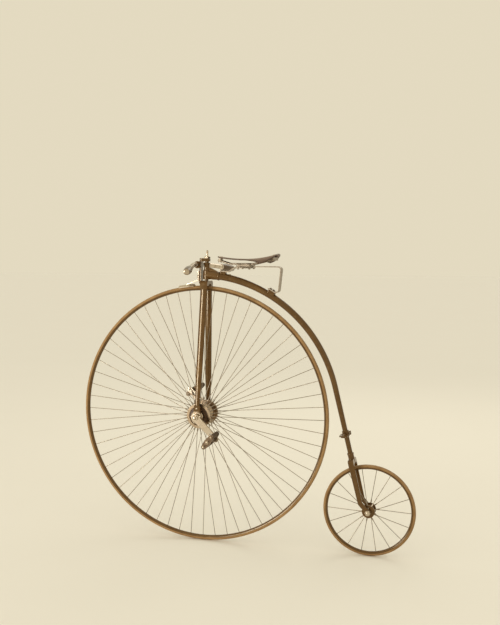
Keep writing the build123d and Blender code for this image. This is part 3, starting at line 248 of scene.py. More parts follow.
def across(shade):
    """Distance from the bicycle's middle plane."""
    sideways = shade.add("ShaderNodeSeparateXYZ", None, {0: shade.place()}, 1)
    return sideways.math("ABSOLUTE", sideways, 0)


def dress(material, *names):
    """Gives CAD nodes a finish."""
    for name in names:
        mesh = frame["nodes"][name].data
        mesh.materials.clear()
        mesh.materials.append(material)


for wheel, dark, light, dust, hub, radius in TYRES:
    rubber, rubber_shader, shade = new_material(f"{wheel}_tyre_rubber")
    mottle = shade.noise(scale=26, detail=6.0)
    fine = shade.noise(scale=420, detail=3.0)
    scuff = shade.noise(scale=60).ramp(0.35, 0.65)
    running = from_axle(shade, hub).ramp(radius - WEAR_STARTS, radius - WEAR_FULL)
    seam = across(shade).ramp(SEAM_FOOT, SEAM_CREST) * (1 - scuff)
    unworn = mottle.ramp(0.3, 0.7).blend(dark, light)
    plug(rubber_shader, "Base Color", (running * scuff * 0.8).blend(unworn, dust))
    plug(rubber_shader, "Roughness", mottle.ramp(0.2, 0.8) * 0.16 + running * 0.08 + 0.64)
    relief = fine + mottle * 0.5 + seam * 0.5
    plug(rubber_shader, "Normal", shade.bump(relief, strength=0.3, distance=0.0006))
    plug(rubber_shader, "Specular IOR Level", 0.3)
    dress(rubber, f"{wheel}_tyre")


# Crescent rims, backbone, forks, head and rear hub are all stove enamelled in a brown-black. The gloss is
# rubbed dull in places down to the brown undercoat, and dust has settled in a fine film.
BROWN_BLACK = (0.074, 0.032, 0.006)
UNDERCOAT = (0.125, 0.062, 0.018)
SETTLED_DUST = (0.150, 0.092, 0.040)
WARM_GLOSS = (1.0, 0.76, 0.42, 1.0)
COAT_ROUGHNESS = 0.05


def rubbed_places(shade):
    """Where the enamel's gloss is rubbed off, from 0 to 1."""
    return shade.noise(scale=11, detail=6.0).ramp(0.50, 0.78)


enamel, enamel_shader, shade = new_material("brown_black_enamel")
rubbed = rubbed_places(shade)
dusty = shade.noise(scale=70, detail=5.0).ramp(0.45, 0.75)
peel = shade.noise(scale=300, detail=2.0)
paint_colour = rubbed.blend(BROWN_BLACK, UNDERCOAT)
plug(enamel_shader, "Base Color", (dusty * 0.25).blend(paint_colour, SETTLED_DUST))
plug(enamel_shader, "Roughness", rubbed * 0.18 + dusty * 0.10 + 0.10)
plug(enamel_shader, "Coat Weight", 0.35 - rubbed * 0.25)
plug(enamel_shader, "Coat Roughness", COAT_ROUGHNESS)
plug(enamel_shader, "Specular Tint", WARM_GLOSS)
plug(enamel_shader, "Normal", shade.bump(peel, strength=0.08, distance=0.0004))
dress(enamel, "front_rim", "rear_rim")


# The hub of the front wheel is turned from gunmetal and nickel plated. The plate is warm and clouded brown
# where it has tarnished. The dished ring recessed in each flange's outer face is dark brown and not metallic.
GUNMETAL_CLEAN = (0.46, 0.37, 0.265)
GUNMETAL_STAINED = (0.36, 0.27, 0.18)
TARNISH = (0.22, 0.150, 0.088)
# Dark brown, not metallic, for the dished ring recessed in each flange's outer face
DISH_DARK_BROWN = (0.085, 0.043, 0.017)
DISH_INNER_RADIUS = 0.0290
DISH_OUTER_RADIUS = 0.0440
DISH_EDGE = 0.0006
# Distances from the middle plane at which the dish's dark brown starts and is full
FACE_STARTS = 0.0534
FACE_FULL = 0.0536


def nickel_tones(shade, clean, stained):
    """Colour and roughness of worn nickel plate, and its normal with fine scratches."""
    tarnish = shade.noise(scale=34, detail=6.0).ramp(0.48, 0.74)
    stain = shade.noise(scale=8).ramp(0.40, 0.70)
    scratch = shade.noise(scale=160, detail=3.0, stretch=(1, 0.12, 1))
    colour = tarnish.blend(stain.blend(clean, stained), TARNISH)
    roughness = tarnish * 0.22 + scratch * 0.12 + 0.13
    return colour, roughness, shade.bump(scratch, strength=0.06, distance=0.0003)


hub_plate, hub_shader, shade = new_material("hub_plate")
plate_colour, plate_roughness, plate_normal = nickel_tones(shade, GUNMETAL_CLEAN, GUNMETAL_STAINED)
reach = from_axle(shade, front_hub)
past_inner = reach.ramp(DISH_INNER_RADIUS, DISH_INNER_RADIUS + DISH_EDGE)
past_outer = reach.ramp(DISH_OUTER_RADIUS, DISH_OUTER_RADIUS + DISH_EDGE)
dish = past_inner * (1 - past_outer) * across(shade).ramp(FACE_STARTS, FACE_FULL)
plug(hub_shader, "Base Color", dish.blend(plate_colour, DISH_DARK_BROWN))
plug(hub_shader, "Metallic", 1 - dish)
plug(hub_shader, "Roughness", plate_roughness + dish * 0.15)
plug(hub_shader, "Normal", plate_normal)
dress(hub_plate, "front_hub")


# Spokes are straight steel wires between rim and flange, greyed and lightly rusted. Where a spoke screws into
# its flange it is left thicker, with a short taper. All the spoke ends of a wheel are one piece.
GREYED = (0.29, 0.24, 0.18)
RUSTED = (0.13, 0.072, 0.038)
SPOKE_END_LENGTH = 0.019
SPOKE_END_RADIUS = 0.0030
# Columns: wheel, hub, spokes a side, flange radius and distance out, radius where the spokes end, body
WHEELS = [
    ("front", front_hub, 30, 0.058, 0.055, 0.5859, "front_wheel"),
    ("rear", rear_hub, 9, 0.029, 0.023, 0.1884, "rear_wheel"),
]
LEFT = Vector((0, 1, 0))
FORWARD = Vector((1, 0, 0))
SMOOTH_BELOW = math.radians(35)

steel, steel_shader, shade = new_material("greyed_steel")
rust = shade.noise(scale=60, detail=6.0).ramp(0.54, 0.78)
grain = shade.noise(scale=240, detail=3.0)
plug(steel_shader, "Metallic", 1.0 - rust * 0.7)
plug(steel_shader, "Base Color", rust.blend(GREYED, RUSTED))
plug(steel_shader, "Roughness", rust * 0.35 + grain * 0.12 + 0.26)
plug(steel_shader, "Normal", shade.bump(grain, strength=0.12, distance=0.0003))
dress(steel, "front_spokes_left", "front_spokes_right", "rear_spokes_left", "rear_spokes_right", "rear_axle")


def lathe(corners, radius, steps):
    """A turned or filed piece on the Z axis: a disc at height 0, drawn up by steps of rise and radius."""
    deselect()
    bpy.ops.mesh.primitive_circle_add(vertices=corners, radius=radius, fill_type="NGON")
    bpy.ops.object.mode_set(mode="EDIT")
    bpy.ops.mesh.select_all(action="SELECT")
    for rise, wide in steps:
        bpy.ops.mesh.extrude_region_move(TRANSFORM_OT_translate={"value": (0, 0, rise)})
        bpy.ops.transform.resize(value=(wide / radius, wide / radius, 1))
        radius = wide
    bpy.ops.mesh.select_all(action="SELECT")
    bpy.ops.mesh.normals_make_consistent(inside=False)
    bpy.ops.object.mode_set(mode="OBJECT")
    return bpy.context.object


def stand_on(piece, at, out):
    """Puts a piece on a point with its Z along out, and its Y as near the bicycle's left as that allows."""
    out = out.normalized()
    level = FORWARD if abs(out.dot(LEFT)) > 0.99 else LEFT
    side = level.cross(out).normalized()
    piece.matrix_world = Matrix.Translation(at) @ Matrix((side, out.cross(side), out)).transposed().to_4x4()
    return piece


def copies(pattern, places):
    """One copy of a piece, with its own mesh, for each place and the way it points."""
    made = []
    for at, out in places:
        piece = bpy.data.objects.new(pattern.name, pattern.data.copy())
        bpy.context.scene.collection.objects.link(piece)
        made.append(stand_on(piece, at, out))
    bpy.data.objects.remove(pattern)
    return made


def finish(pieces, name, material, body):
    """Joins loose pieces into one, gives it its finish, and lets it ride on a body."""
    bpy.context.view_layer.update()
    deselect()
    for piece in pieces:
        piece.select_set(True)
    bpy.context.view_layer.objects.active = pieces[0]
    if len(pieces) > 1:
        bpy.ops.object.join()
    piece = settle(bpy.context.object, name)
    piece.data.materials.clear()
    piece.data.materials.append(material)
    bpy.ops.object.shade_smooth_by_angle(angle=SMOOTH_BELOW)
    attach(piece, body)


for wheel, hub, count, flange_radius, flange_out, rim_radius, body in WHEELS:
    spots = []
    for side, phase in ((1, 0.0), (-1, math.pi / count)):
        for i in range(count):
            angle = phase + 2 * math.pi * i / count
            out = Vector((math.cos(angle), 0, math.sin(angle)))
            root = hub + out * flange_radius + LEFT * side * flange_out
            spots.append((root, hub + out * rim_radius - root))
    end = lathe(8, SPOKE_END_RADIUS, [(SPOKE_END_LENGTH * 0.55, SPOKE_END_RADIUS * 0.9),
                                      (SPOKE_END_LENGTH * 0.45, SPOKE_END_RADIUS * 0.5)])
    finish(copies(end, spots), f"{wheel}_spoke_ends", steel, body)


# Axle, cranks and pedal pins are forged, filed and nickel plated. Each crank is held on the axle by a taper
# pin with a nut, and the axle's end is closed with a turned button.
CLEAN_NICKEL = (0.62, 0.54, 0.43)
STAINED_NICKEL = (0.47, 0.38, 0.28)
AXLE_END = 0.1155
CRANK_MIDDLE = 0.101
CRANK_ANGLE = math.radians(44)
CRANK_WAY = Vector((-math.cos(CRANK_ANGLE), 0, -math.sin(CRANK_ANGLE)))
TAPER_PIN_OFFSET = 0.0115
TAPER_PIN_FOOT = 0.0225
PIN_NUT_SEAT = 0.0400
# The bicycle's left, then its right
SIDES = (1, -1)
# Columns of a turned piece: corners, radius at its foot, steps of rise and radius
AXLE_BUTTON = 24, 0.0076, [(0.0014, 0.0076), (0.0012, 0.0066), (0.0008, 0.0044), (0.0003, 0.0018)]
TAPER_PIN = 20, 0.0030, [(0.0008, 0.0036), (0.0400, 0.0028), (0.0060, 0.0027), (0.0006, 0.0020)]

nickel, nickel_shader, shade = new_material("worn_nickel_plate")
plate_colour, plate_roughness, plate_normal = nickel_tones(shade, CLEAN_NICKEL, STAINED_NICKEL)
plug(nickel_shader, "Metallic", 1.0)
plug(nickel_shader, "Base Color", plate_colour)
plug(nickel_shader, "Roughness", plate_roughness)
plug(nickel_shader, "Normal", plate_normal)
dress(nickel, "front_axle", "crank_left", "crank_right", "pedal_pin_left", "pedal_pin_right")


def crank_point(side, along, out):
    """A point on a side's crank, from distances along it and out from the middle plane."""
    return front_hub + CRANK_WAY * side * along + LEFT * side * out


def hexagon(radius, height, bevel, top_radius):
    """A nut or a bolt's head on the Z axis, with its corners filed off at the top."""
    return lathe(6, radius, [(height, radius), (bevel, top_radius)])


pin_way = CRANK_WAY.cross(LEFT)
buttons = copies(lathe(*AXLE_BUTTON), [(crank_point(side, 0, AXLE_END), LEFT * side) for side in SIDES])
pin_spots = [(crank_point(side, TAPER_PIN_OFFSET, CRANK_MIDDLE) - pin_way * TAPER_PIN_FOOT, pin_way)
             for side in SIDES]
taper_pins = copies(lathe(*TAPER_PIN), pin_spots)
pin_nuts = copies(hexagon(radius=0.0054, height=0.0040, bevel=0.0006, top_radius=0.0047),
                  [(at + way * PIN_NUT_SEAT, way) for at, way in pin_spots])
finish(buttons + taper_pins + pin_nuts, "crank_fastenings", nickel, "front_wheel")


# A pedal has two browned steel plates on a barrel, and two rubber blocks between them, each on a long bolt
# with a domed nut. The blocks are dark brown, matt and grooved across, and a cap closes the pin's end.
BROWNED_DARK = (0.105, 0.068, 0.040)
BROWNED_LIGHT = (0.20, 0.138, 0.085)
BLOCK_DARK = (0.046, 0.028, 0.014)
BLOCK_LIGHT = (0.100, 0.064, 0.036)
CRANK_THROW = 0.127
BLOCK_BOLT_SPREAD = 0.029
PEDAL_IN = 0.1135
PEDAL_OUT = 0.2015
PIN_END = 0.2068
BLOCK_NUT_DOME = 20, 0.0052, [(0.0042, 0.0052), (0.0018, 0.0045), (0.0014, 0.0031), (0.0006, 0.0013)]
BLOCK_BOLT_HEAD = 20, 0.0056, [(0.0016, 0.0056), (0.0008, 0.0044), (0.0003, 0.0022)]
PIN_CAP = 24, 0.0058, [(0.0010, 0.0058), (0.0012, 0.0050), (0.0010, 0.0034), (0.0004, 0.0014)]
# Columns: name, side, angle of the plates from forward towards up, in degrees
PEDALS = [("left", 1, 128), ("right", -1, 143)]

browned, browned_shader, shade = new_material("browned_steel")
patch = shade.noise(scale=90, detail=5.0).ramp(0.4, 0.7)
plug(browned_shader, "Metallic", 0.8)
plug(browned_shader, "Base Color", patch.blend(BROWNED_DARK, BROWNED_LIGHT))
plug(browned_shader, "Roughness", patch * 0.2 + 0.32)
dress(browned, "pedal_frame_left", "pedal_frame_right")

block_rubber, block_shader, shade = new_material("pedal_block_rubber")
mottle = shade.noise(scale=40, detail=5.0)
grooves = shade.add("ShaderNodeTexWave", {"bands_direction": "Y"}, {"Vector": shade.place(), "Scale": 52.0})
plug(block_shader, "Base Color", mottle.ramp(0.3, 0.7).blend(BLOCK_DARK, BLOCK_LIGHT))
plug(block_shader, "Specular IOR Level", 0.3)
plug(block_shader, "Specular Tint", WARM_GLOSS)
plug(block_shader, "Roughness", mottle * 0.2 + 0.6)
relief = grooves.ramp(0.15, 0.5) + mottle * 0.3
plug(block_shader, "Normal", shade.bump(relief, strength=0.6, distance=0.0012))
dress(block_rubber, "pedal_rubbers_left", "pedal_rubbers_right")

for name, side, tilt in PEDALS:
    along = Vector((math.cos(math.radians(tilt)), 0, math.sin(math.radians(tilt)))) * BLOCK_BOLT_SPREAD
    outer = [(crank_point(side, CRANK_THROW, PEDAL_OUT) + along * way, LEFT * side) for way in (1, -1)]
    inner = [(crank_point(side, CRANK_THROW, PEDAL_IN) + along * way, -LEFT * side) for way in (1, -1)]
    nuts = copies(hexagon(radius=0.0066, height=0.0036, bevel=0.0004, top_radius=0.0060), outer)
    domes = copies(lathe(*BLOCK_NUT_DOME), outer)
    heads = copies(lathe(*BLOCK_BOLT_HEAD), inner)
    finish(nuts + domes + heads, f"pedal_nuts_{name}", nickel, f"pedal_{name}")
caps = copies(lathe(*PIN_CAP), [(crank_point(side, CRANK_THROW, PIN_END), LEFT * side) for side in SIDES])
finish(caps, "pedal_pin_caps", nickel, "front_wheel")


# Bearing cases at the feet of the front fork. The round case is nickel plated, and its socket is enamelled
# with the blade that is brazed in it. A domed oiler sits on the outside of each socket.
ROUND_CASE_RADIUS = 0.0270
PAINT_EDGE = 0.0006
CASE_MIDDLE = 0.0805
SOCKET_TOP = 0.054
SOCKET_FACE = 0.0880
OILER_HEIGHT = 0.040
CASE_OILER = 24, 0.0047, [(0.0012, 0.0047), (0.0003, 0.0040), (0.0008, 0.0042), (0.0012, 0.0036),
                          (0.0008, 0.0024), (0.0003, 0.0010)]
# Columns of a ring's profile: height, radius
FOOT_BEAD = [(-0.0012, 0.0106), (-0.0012, 0.0118), (0.0004, 0.0121), (0.0016, 0.0112), (0.0016, 0.0104)]
FOOT_BEAD_DEPTH_SHARE = 0.56
MERGE_BELOW = 0.00002

case_finish, case_shader, shade = new_material("plated_case_enamelled_socket")
plate_colour, plate_roughness, plate_normal = nickel_tones(shade, CLEAN_NICKEL, STAINED_NICKEL)
painted = from_axle(shade, front_hub).ramp(ROUND_CASE_RADIUS, ROUND_CASE_RADIUS + PAINT_EDGE)
socket_colour = rubbed_places(shade).blend(BROWN_BLACK, UNDERCOAT)
plug(case_shader, "Base Color", painted.blend(plate_colour, socket_colour))
plug(case_shader, "Metallic", 1 - painted)
plug(case_shader, "Roughness", plate_roughness)
plug(case_shader, "Coat Weight", painted * 0.3)
plug(case_shader, "Coat Roughness", COAT_ROUGHNESS)
plug(case_shader, "Specular Tint", WARM_GLOSS)
plug(case_shader, "Normal", plate_normal)
dress(case_finish, "bearing_case_left", "bearing_case_right")
head_up = Vector(joint("steering")["axis"])
head_ahead = LEFT.cross(head_up)


def head_point(forward, left, height):
    """A point from distances forward of the steering axis, to the left, and up it from the front hub."""
    return front_hub + head_ahead * forward + LEFT * left + head_up * height


def hoop(corners, profile):
    """A ring round the Z axis: a circle drawn round a closed profile of height and radius."""
    deselect()
    height, radius = profile[0]
    bpy.ops.mesh.primitive_circle_add(vertices=corners, radius=radius)
    bpy.ops.object.mode_set(mode="EDIT")
    bpy.ops.mesh.select_all(action="SELECT")
    bpy.ops.transform.translate(value=(0, 0, height))
    for level, wide in (*profile[1:], profile[0]):
        bpy.ops.mesh.extrude_region_move(TRANSFORM_OT_translate={"value": (0, 0, level - height)})
        bpy.ops.transform.resize(value=(wide / radius, wide / radius, 1))
        height, radius = level, wide
    bpy.ops.mesh.select_all(action="SELECT")
    bpy.ops.mesh.remove_doubles(threshold=MERGE_BELOW)
    bpy.ops.mesh.normals_make_consistent(inside=False)
    bpy.ops.object.mode_set(mode="OBJECT")
    return bpy.context.object


def flatten(piece, depth_share):
    """Makes a round piece oval, narrower along its Y."""
    piece.scale = (1, depth_share, 1)
    deselect()
    piece.select_set(True)
    bpy.ops.object.transform_apply(location=False, rotation=False, scale=True)
    return piece


oilers = copies(lathe(*CASE_OILER),
                [(head_point(0, side * SOCKET_FACE, OILER_HEIGHT), LEFT * side) for side in SIDES])
finish(oilers, "bearing_case_oilers", nickel, "fork")
beads = copies(flatten(hoop(32, FOOT_BEAD), FOOT_BEAD_DEPTH_SHARE),
               [(head_point(0, side * CASE_MIDDLE, SOCKET_TOP), head_up) for side in SIDES])
finish(beads, "blade_foot_beads", enamel, "fork")


# Fork blades are oval tubes, brazed into the legs of the forged head. The head, a frame open to the rear, is
# enamelled as the blades are. Two bolts pinch the bar in its lug, and the adjusting screw above is plated.
LEG_END = 0.5945
LEG_OUT = 0.033
LEG_BEAD = [(-0.0016, 0.0172), (-0.0004, 0.0192), (0.0016, 0.0196), (0.0016, 0.0172)]
LEG_BEAD_DEPTH_SHARE = 0.50
LUG_FRONT = 0.0568
LUG_BOLT_OUT = 0.0135
BAR_HEIGHT = 0.7065

dress(enamel, "fork_left", "fork_right", "steering_head")
dress(nickel, "head_adjusting_screw")
leg_beads = copies(flatten(hoop(36, LEG_BEAD), LEG_BEAD_DEPTH_SHARE),
                   [(head_point(0, side * LEG_OUT, LEG_END), head_up) for side in SIDES])
finish(leg_beads, "crown_leg_beads", enamel, "fork")
lug_bolts = copies(hexagon(radius=0.0050, height=0.0030, bevel=0.0006, top_radius=0.0044),
                   [(head_point(LUG_FRONT, side * LUG_BOLT_OUT, BAR_HEIGHT), head_ahead) for side in SIDES])
finish(lug_bolts, "bar_lug_bolts", nickel, "fork")


# The handlebar is a plated steel rod through the head's lug. Its grips are turned from dark horn and
# polished, each between a plated ferrule and a button at the bar's end. Long streaks run through the horn.
HORN_DARK = (0.036, 0.020, 0.009)
HORN_STREAK = (0.125, 0.070, 0.033)
BAR_FORWARD = 0.040
# Points of the bar's line from the middle of the lug, in the head's own forward, left and up
BAR_KNEE = Vector((0, 0.075, 0))
BAR_END = Vector((-0.060, 0.325, -0.022))
GRIP_BACK = 0.099
GRIP_OVERHANG = 0.0083
FERRULE = [(-0.0080, 0.0111), (-0.0080, 0.0124), (-0.0060, 0.0136), (-0.0030, 0.0138), (-0.0010, 0.0146),
           (0.0004, 0.0143), (0.0004, 0.0111)]
GRIP_BUTTON = 28, 0.0124, [(0.0004, 0.0124), (0.0008, 0.0112), (0.0006, 0.0080), (0.0003, 0.0040)]

dress(nickel, "handlebar")
horn, horn_shader, shade = new_material("dark_horn")
streak = shade.noise(scale=90, detail=5.0, stretch=(1, 0.15, 1)).ramp(0.35, 0.7)
plug(horn_shader, "Base Color", streak.blend(HORN_DARK, HORN_STREAK))
plug(horn_shader, "Roughness", streak * 0.12 + 0.18)
plug(horn_shader, "Coat Weight", 0.1)
plug(horn_shader, "Specular Tint", WARM_GLOSS)
dress(horn, "grip_left", "grip_right")


def bar_place(side, beyond):
    """Where the bar's line is, this far beyond the bar's end on a side, and which way it points."""
    way = (BAR_END - BAR_KNEE).normalized()
    spot = BAR_END + way * beyond
    out = head_ahead * way.x + LEFT * side * way.y + head_up * way.z
    return head_point(BAR_FORWARD + spot.x, side * spot.y, BAR_HEIGHT + spot.z), out


ferrules = copies(hoop(28, FERRULE), [bar_place(side, -GRIP_BACK) for side in SIDES])
ends = copies(lathe(*GRIP_BUTTON), [bar_place(side, GRIP_OVERHANG) for side in SIDES])
finish(ferrules + ends, "grip_ferrules", nickel, "fork")


# The brake works on the front tyre and is nickel plated. A lever under the right grip hangs from the bar in
# a bracket, turns in its eye and pushes the plunger down through a guide on the head. The spoon's arm hinges
# on a pin below.
PLUNGER_FORWARD = 0.0398
GUIDE_HEIGHT = 0.651
GUIDE_EYE = [(-0.0060, 0.0043), (-0.0060, 0.0060), (-0.0045, 0.0068), (0.0045, 0.0068), (0.0060, 0.0060),
             (0.0060, 0.0043)]
GUIDE_FOOT_SIZE = (0.0024, 0.027, 0.0100)
GUIDE_FOOT_FORWARD = 0.0362
GUIDE_SCREW = 16, 0.0026, [(0.0006, 0.0026), (0.0005, 0.0020), (0.0002, 0.0008)]
GUIDE_SCREW_FORWARD = 0.0373
GUIDE_SCREW_OUT = 0.0103
HANGER_LEFT = -0.040
BAR_EYE = [(-0.0050, 0.0111), (-0.0050, 0.0130), (-0.0040, 0.0138), (0.0040, 0.0138), (0.0050, 0.0130),
           (0.0050, 0.0111)]
LEVER_HEIGHT = 0.6725
LEVER_EYE = [(-0.0055, 0.0046), (-0.0055, 0.0062), (-0.0045, 0.0070), (0.0045, 0.0070), (0.0055, 0.0062),
             (0.0055, 0.0046)]
HANGER_WEB_SIZE = (0.0060, 0.0080, 0.0190)
HANGER_WEB_DROP = 0.003
SPOON_PIN_LEFT = -0.0094
SPOON_PIN_HEIGHT = 0.632
SPOON_PIN = 16, 0.0036, [(0.0012, 0.0036), (0, 0.0022), (0.0164, 0.0022), (0, 0.0036), (0.0012, 0.0030)]
# The lever's end and the way that it points there, in the head's own forward, left and up
LEVER_END = (-0.0202, -0.299, 0.6505)
LEVER_WAY = (-0.2576, -0.9617, -0.0945)
LEVER_KNOB = 20, 0.0046, [(0.0020, 0.0062), (0.0040, 0.0067), (0.0030, 0.0060), (0.0020, 0.0038),
                          (0.0006, 0.0016)]
KNOB_SEAT = 0.004


def plate(size, edge):
    """A flat filed piece, centred, with its edges rounded."""
    deselect()
    bpy.ops.mesh.primitive_cube_add(size=1)
    bpy.ops.object.mode_set(mode="EDIT")
    bpy.ops.mesh.select_all(action="SELECT")
    bpy.ops.transform.resize(value=size)
    bpy.ops.mesh.bevel(offset=edge, segments=2, affect="EDGES")
    bpy.ops.object.mode_set(mode="OBJECT")
    return bpy.context.object


dress(nickel, "brake_lever", "brake_spoon")
guide = copies(hoop(24, GUIDE_EYE), [(head_point(PLUNGER_FORWARD, 0, GUIDE_HEIGHT), head_up)])
guide += [stand_on(plate(GUIDE_FOOT_SIZE, edge=0.0008), head_point(GUIDE_FOOT_FORWARD, 0, GUIDE_HEIGHT),
                   head_up)]
guide += copies(lathe(*GUIDE_SCREW),
                [(head_point(GUIDE_SCREW_FORWARD, side * GUIDE_SCREW_OUT, GUIDE_HEIGHT), head_ahead)
                 for side in SIDES])
web_height = (LEVER_HEIGHT + BAR_HEIGHT) / 2 - HANGER_WEB_DROP
hanger = copies(hoop(28, BAR_EYE), [(head_point(BAR_FORWARD, HANGER_LEFT, BAR_HEIGHT), LEFT)])
hanger += copies(hoop(24, LEVER_EYE), [(head_point(PLUNGER_FORWARD, HANGER_LEFT, LEVER_HEIGHT), LEFT)])
hanger += [stand_on(plate(HANGER_WEB_SIZE, edge=0.0012), head_point(PLUNGER_FORWARD, HANGER_LEFT, web_height),
                    head_up)]
hinge = copies(lathe(*SPOON_PIN), [(head_point(PLUNGER_FORWARD, SPOON_PIN_LEFT, SPOON_PIN_HEIGHT), LEFT)])
lever_way = head_point(*LEVER_WAY) - front_hub
knob = copies(lathe(*LEVER_KNOB), [(head_point(*LEVER_END) - lever_way * KNOB_SEAT, lever_way)])
finish(guide + hanger + hinge + knob, "brake_fittings", nickel, "fork")


# The backbone is a taper tube, brazed into the neck above and into the rear fork's crown below. Both joints
# have a rounded collar. Tube, neck, fork and the spring's two seats are enamelled.
NECK_END = Vector((0.13212, 0, -0.08149))
NECK_SLOPE = math.radians(7.683)
NECK_OUT = Vector((-math.cos(NECK_SLOPE), 0, -math.sin(NECK_SLOPE)))
NECK_COLLAR = [(-0.0010, 0.0172), (-0.0010, 0.0204), (0.0012, 0.0210), (0.0036, 0.0202), (0.0060, 0.0184),
               (0.0064, 0.0172)]
# The rear fork's middle line leans forward and passes in front of the rear hub by its lead
REAR_FORK_LEAN = math.radians(13.5)
REAR_FORK_LEAD = 0.025
FORK_UP = Vector((math.sin(REAR_FORK_LEAN), 0, math.cos(REAR_FORK_LEAN)))
FORK_BACK = Vector((-math.cos(REAR_FORK_LEAN), 0, math.sin(REAR_FORK_LEAN)))
BACKBONE_END = 0.2685
FORK_COLLAR = [(-0.0040, 0.0141), (-0.0040, 0.0150), (0.0004, 0.0154), (0.0030, 0.0144), (0.0050, 0.0124),
               (0.0054, 0.0113), (0.0003, 0.0113), (0.0003, 0.0141)]


def rear_fork_point(height, back=0):
    """A point of the middle plane, this far up the rear fork's line and this far back from it."""
    return rear_hub + FORK_UP * height + FORK_BACK * (back - REAR_FORK_LEAD)


dress(enamel, "backbone", "neck", "rear_fork_crown", "rear_fork_left", "rear_fork_right", "spring_front_lug",
      "spring_rear_shoe")
collars = copies(hoop(36, NECK_COLLAR), [(NECK_END, NECK_OUT)])
collars += copies(hoop(32, FORK_COLLAR), [(rear_fork_point(BACKBONE_END), FORK_UP)])
finish(collars, "backbone_collars", enamel, "backbone")


# The rear hub is enamelled and turns on a fixed axle, which two domed and plated nuts hold in the fork. A
# small oiler with a ball top stands on the hub beside the left flange.
UP = Vector((0, 0, 1))
OILER_LEFT = 0.0293
OILER_SEAT = 0.0098
HUB_OILER = 16, 0.0028, [(0.0030, 0.0028), (0.0006, 0.0019), (0.0028, 0.0019), (0.0005, 0.0026),
                         (0.0012, 0.0031), (0.0014, 0.0031), (0.0011, 0.0024), (0.0006, 0.0011)]

dress(enamel, "rear_hub")
dress(nickel, "rear_axle_nuts")
hub_oiler = copies(lathe(*HUB_OILER), [(rear_hub + LEFT * OILER_LEFT + UP * OILER_SEAT, UP)])
finish(hub_oiler, "rear_hub_oiler", nickel, "rear_wheel")


# The mounting step is forged and enamelled, with a toothed tread. Its clip is split behind the backbone, and
# a bolt and nut draw its two ears together.
STEP_HEIGHT = 0.362
EAR_SIZE = (0.0100, 0.0042, 0.0170)
EAR_BACK = 0.0192
EAR_OUT = 0.0036
EAR_BOLT_BACK = 0.0196
EAR_BOLT_FOOT = 0.0109
EAR_NUT_OUT = 0.0056
EAR_BOLT = 16, 0.0020, [(0.0006, 0.0024), (0.0206, 0.0024), (0.0006, 0.0020)]

dress(enamel, "mounting_step")
ears = [stand_on(plate(EAR_SIZE, edge=0.0012),
                 rear_fork_point(STEP_HEIGHT, EAR_BACK) + LEFT * side * EAR_OUT, FORK_UP) for side in SIDES]
finish(ears, "step_clip_ears", enamel, "backbone")
bolt_middle = rear_fork_point(STEP_HEIGHT, EAR_BOLT_BACK)
ear_bolt = copies(lathe(*EAR_BOLT), [(bolt_middle - LEFT * EAR_BOLT_FOOT, LEFT)])
ear_bolt += copies(hexagon(radius=0.0046, height=0.0034, bevel=0.0005, top_radius=0.0040),
                   [(bolt_middle + LEFT * side * EAR_NUT_OUT, LEFT * side) for side in SIDES])
finish(ear_bolt, "step_clip_bolt", steel, "backbone")


# The saddle rides on a flat steel spring, bolted to a lug at the front and to a shoe at the rear. A strap
# below the spring clamps the saddle's underframe to it with four bolts.
SPRING_WASHER = 24, 0.0078, [(0.0007, 0.0078), (0.0002, 0.0074)]
STRAP_SIZE = (0.070, 0.084, 0.0048)
STRAP_MIDDLE = -0.0414
CLIP_TOP = -0.0262
CLIP_BOLT_FOOT = -0.0485
CLIP_BOLT_FORWARD = 0.027
CLIP_BOLT_OUT = 0.0378
CLIP_BOLT = 16, 0.0028, [(0.0235, 0.0028), (0.0004, 0.0020)]
# Columns: point on the tube's line, its slope there in degrees, distance to the spring's top, bolts forward
SPRING_SEATS = [
    (Vector((0.1130, 0, -0.08436)), 9.362, 0.0289, (-0.007, 0.008)),
    (Vector((-0.1150, 0, -0.16712)), 30.538, 0.0276, (-0.004, 0.011)),
]

dress(steel, "saddle_spring", "saddle_frame")
spring_spots = []
for point, slope, rise, shifts in SPRING_SEATS:
    along = Vector((math.cos(math.radians(slope)), 0, math.sin(math.radians(slope))))
    out = Vector((-along.z, 0, along.x))
    spring_spots += [(point + out * rise + along * shift, out) for shift in shifts]
spring_bolts = copies(hexagon(radius=0.0058, height=0.0036, bevel=0.0007, top_radius=0.0050), spring_spots)
spring_washers = copies(lathe(*SPRING_WASHER), spring_spots)
clip_spots = [(x, side * CLIP_BOLT_OUT) for x in (-CLIP_BOLT_FORWARD, CLIP_BOLT_FORWARD) for side in SIDES]
strap = [stand_on(plate(STRAP_SIZE, edge=0.0014), Vector((0, 0, STRAP_MIDDLE)), UP)]
clip_bolts = copies(lathe(*CLIP_BOLT), [(Vector((x, y, CLIP_BOLT_FOOT)), UP) for x, y in clip_spots])
clip_bolts += copies(hexagon(radius=0.0040, height=0.0030, bevel=0.0005, top_radius=0.0034),
                     [(Vector((x, y, CLIP_TOP)), UP) for x, y in clip_spots])
clip_bolts += copies(hexagon(radius=0.0048, height=0.0036, bevel=0.0005, top_radius=0.0042),
                     [(Vector((x, y, STRAP_MIDDLE - STRAP_SIZE[2] / 2)), -UP) for x, y in clip_spots])
finish(spring_bolts + spring_washers + strap + clip_bolts, "saddle_spring_fittings", steel,
       "backbone")


# The saddle's cover is thick brown leather, stretched over its irons and held by rivets at the nose and
# cantle. Its cut edge is burnished dark, with a tooled line beside it, and it is rubbed pale in the middle.
HIDE_DARK = (0.080, 0.036, 0.015)
HIDE_WORN = (0.165, 0.082, 0.036)
HIDE_PALE = (0.225, 0.125, 0.060)
BURNISHED = (0.042, 0.018, 0.008)
VOXEL = 0.0018
PROBE_DEPTH = 0.0003
TWICE_THICKNESS = 0.0080

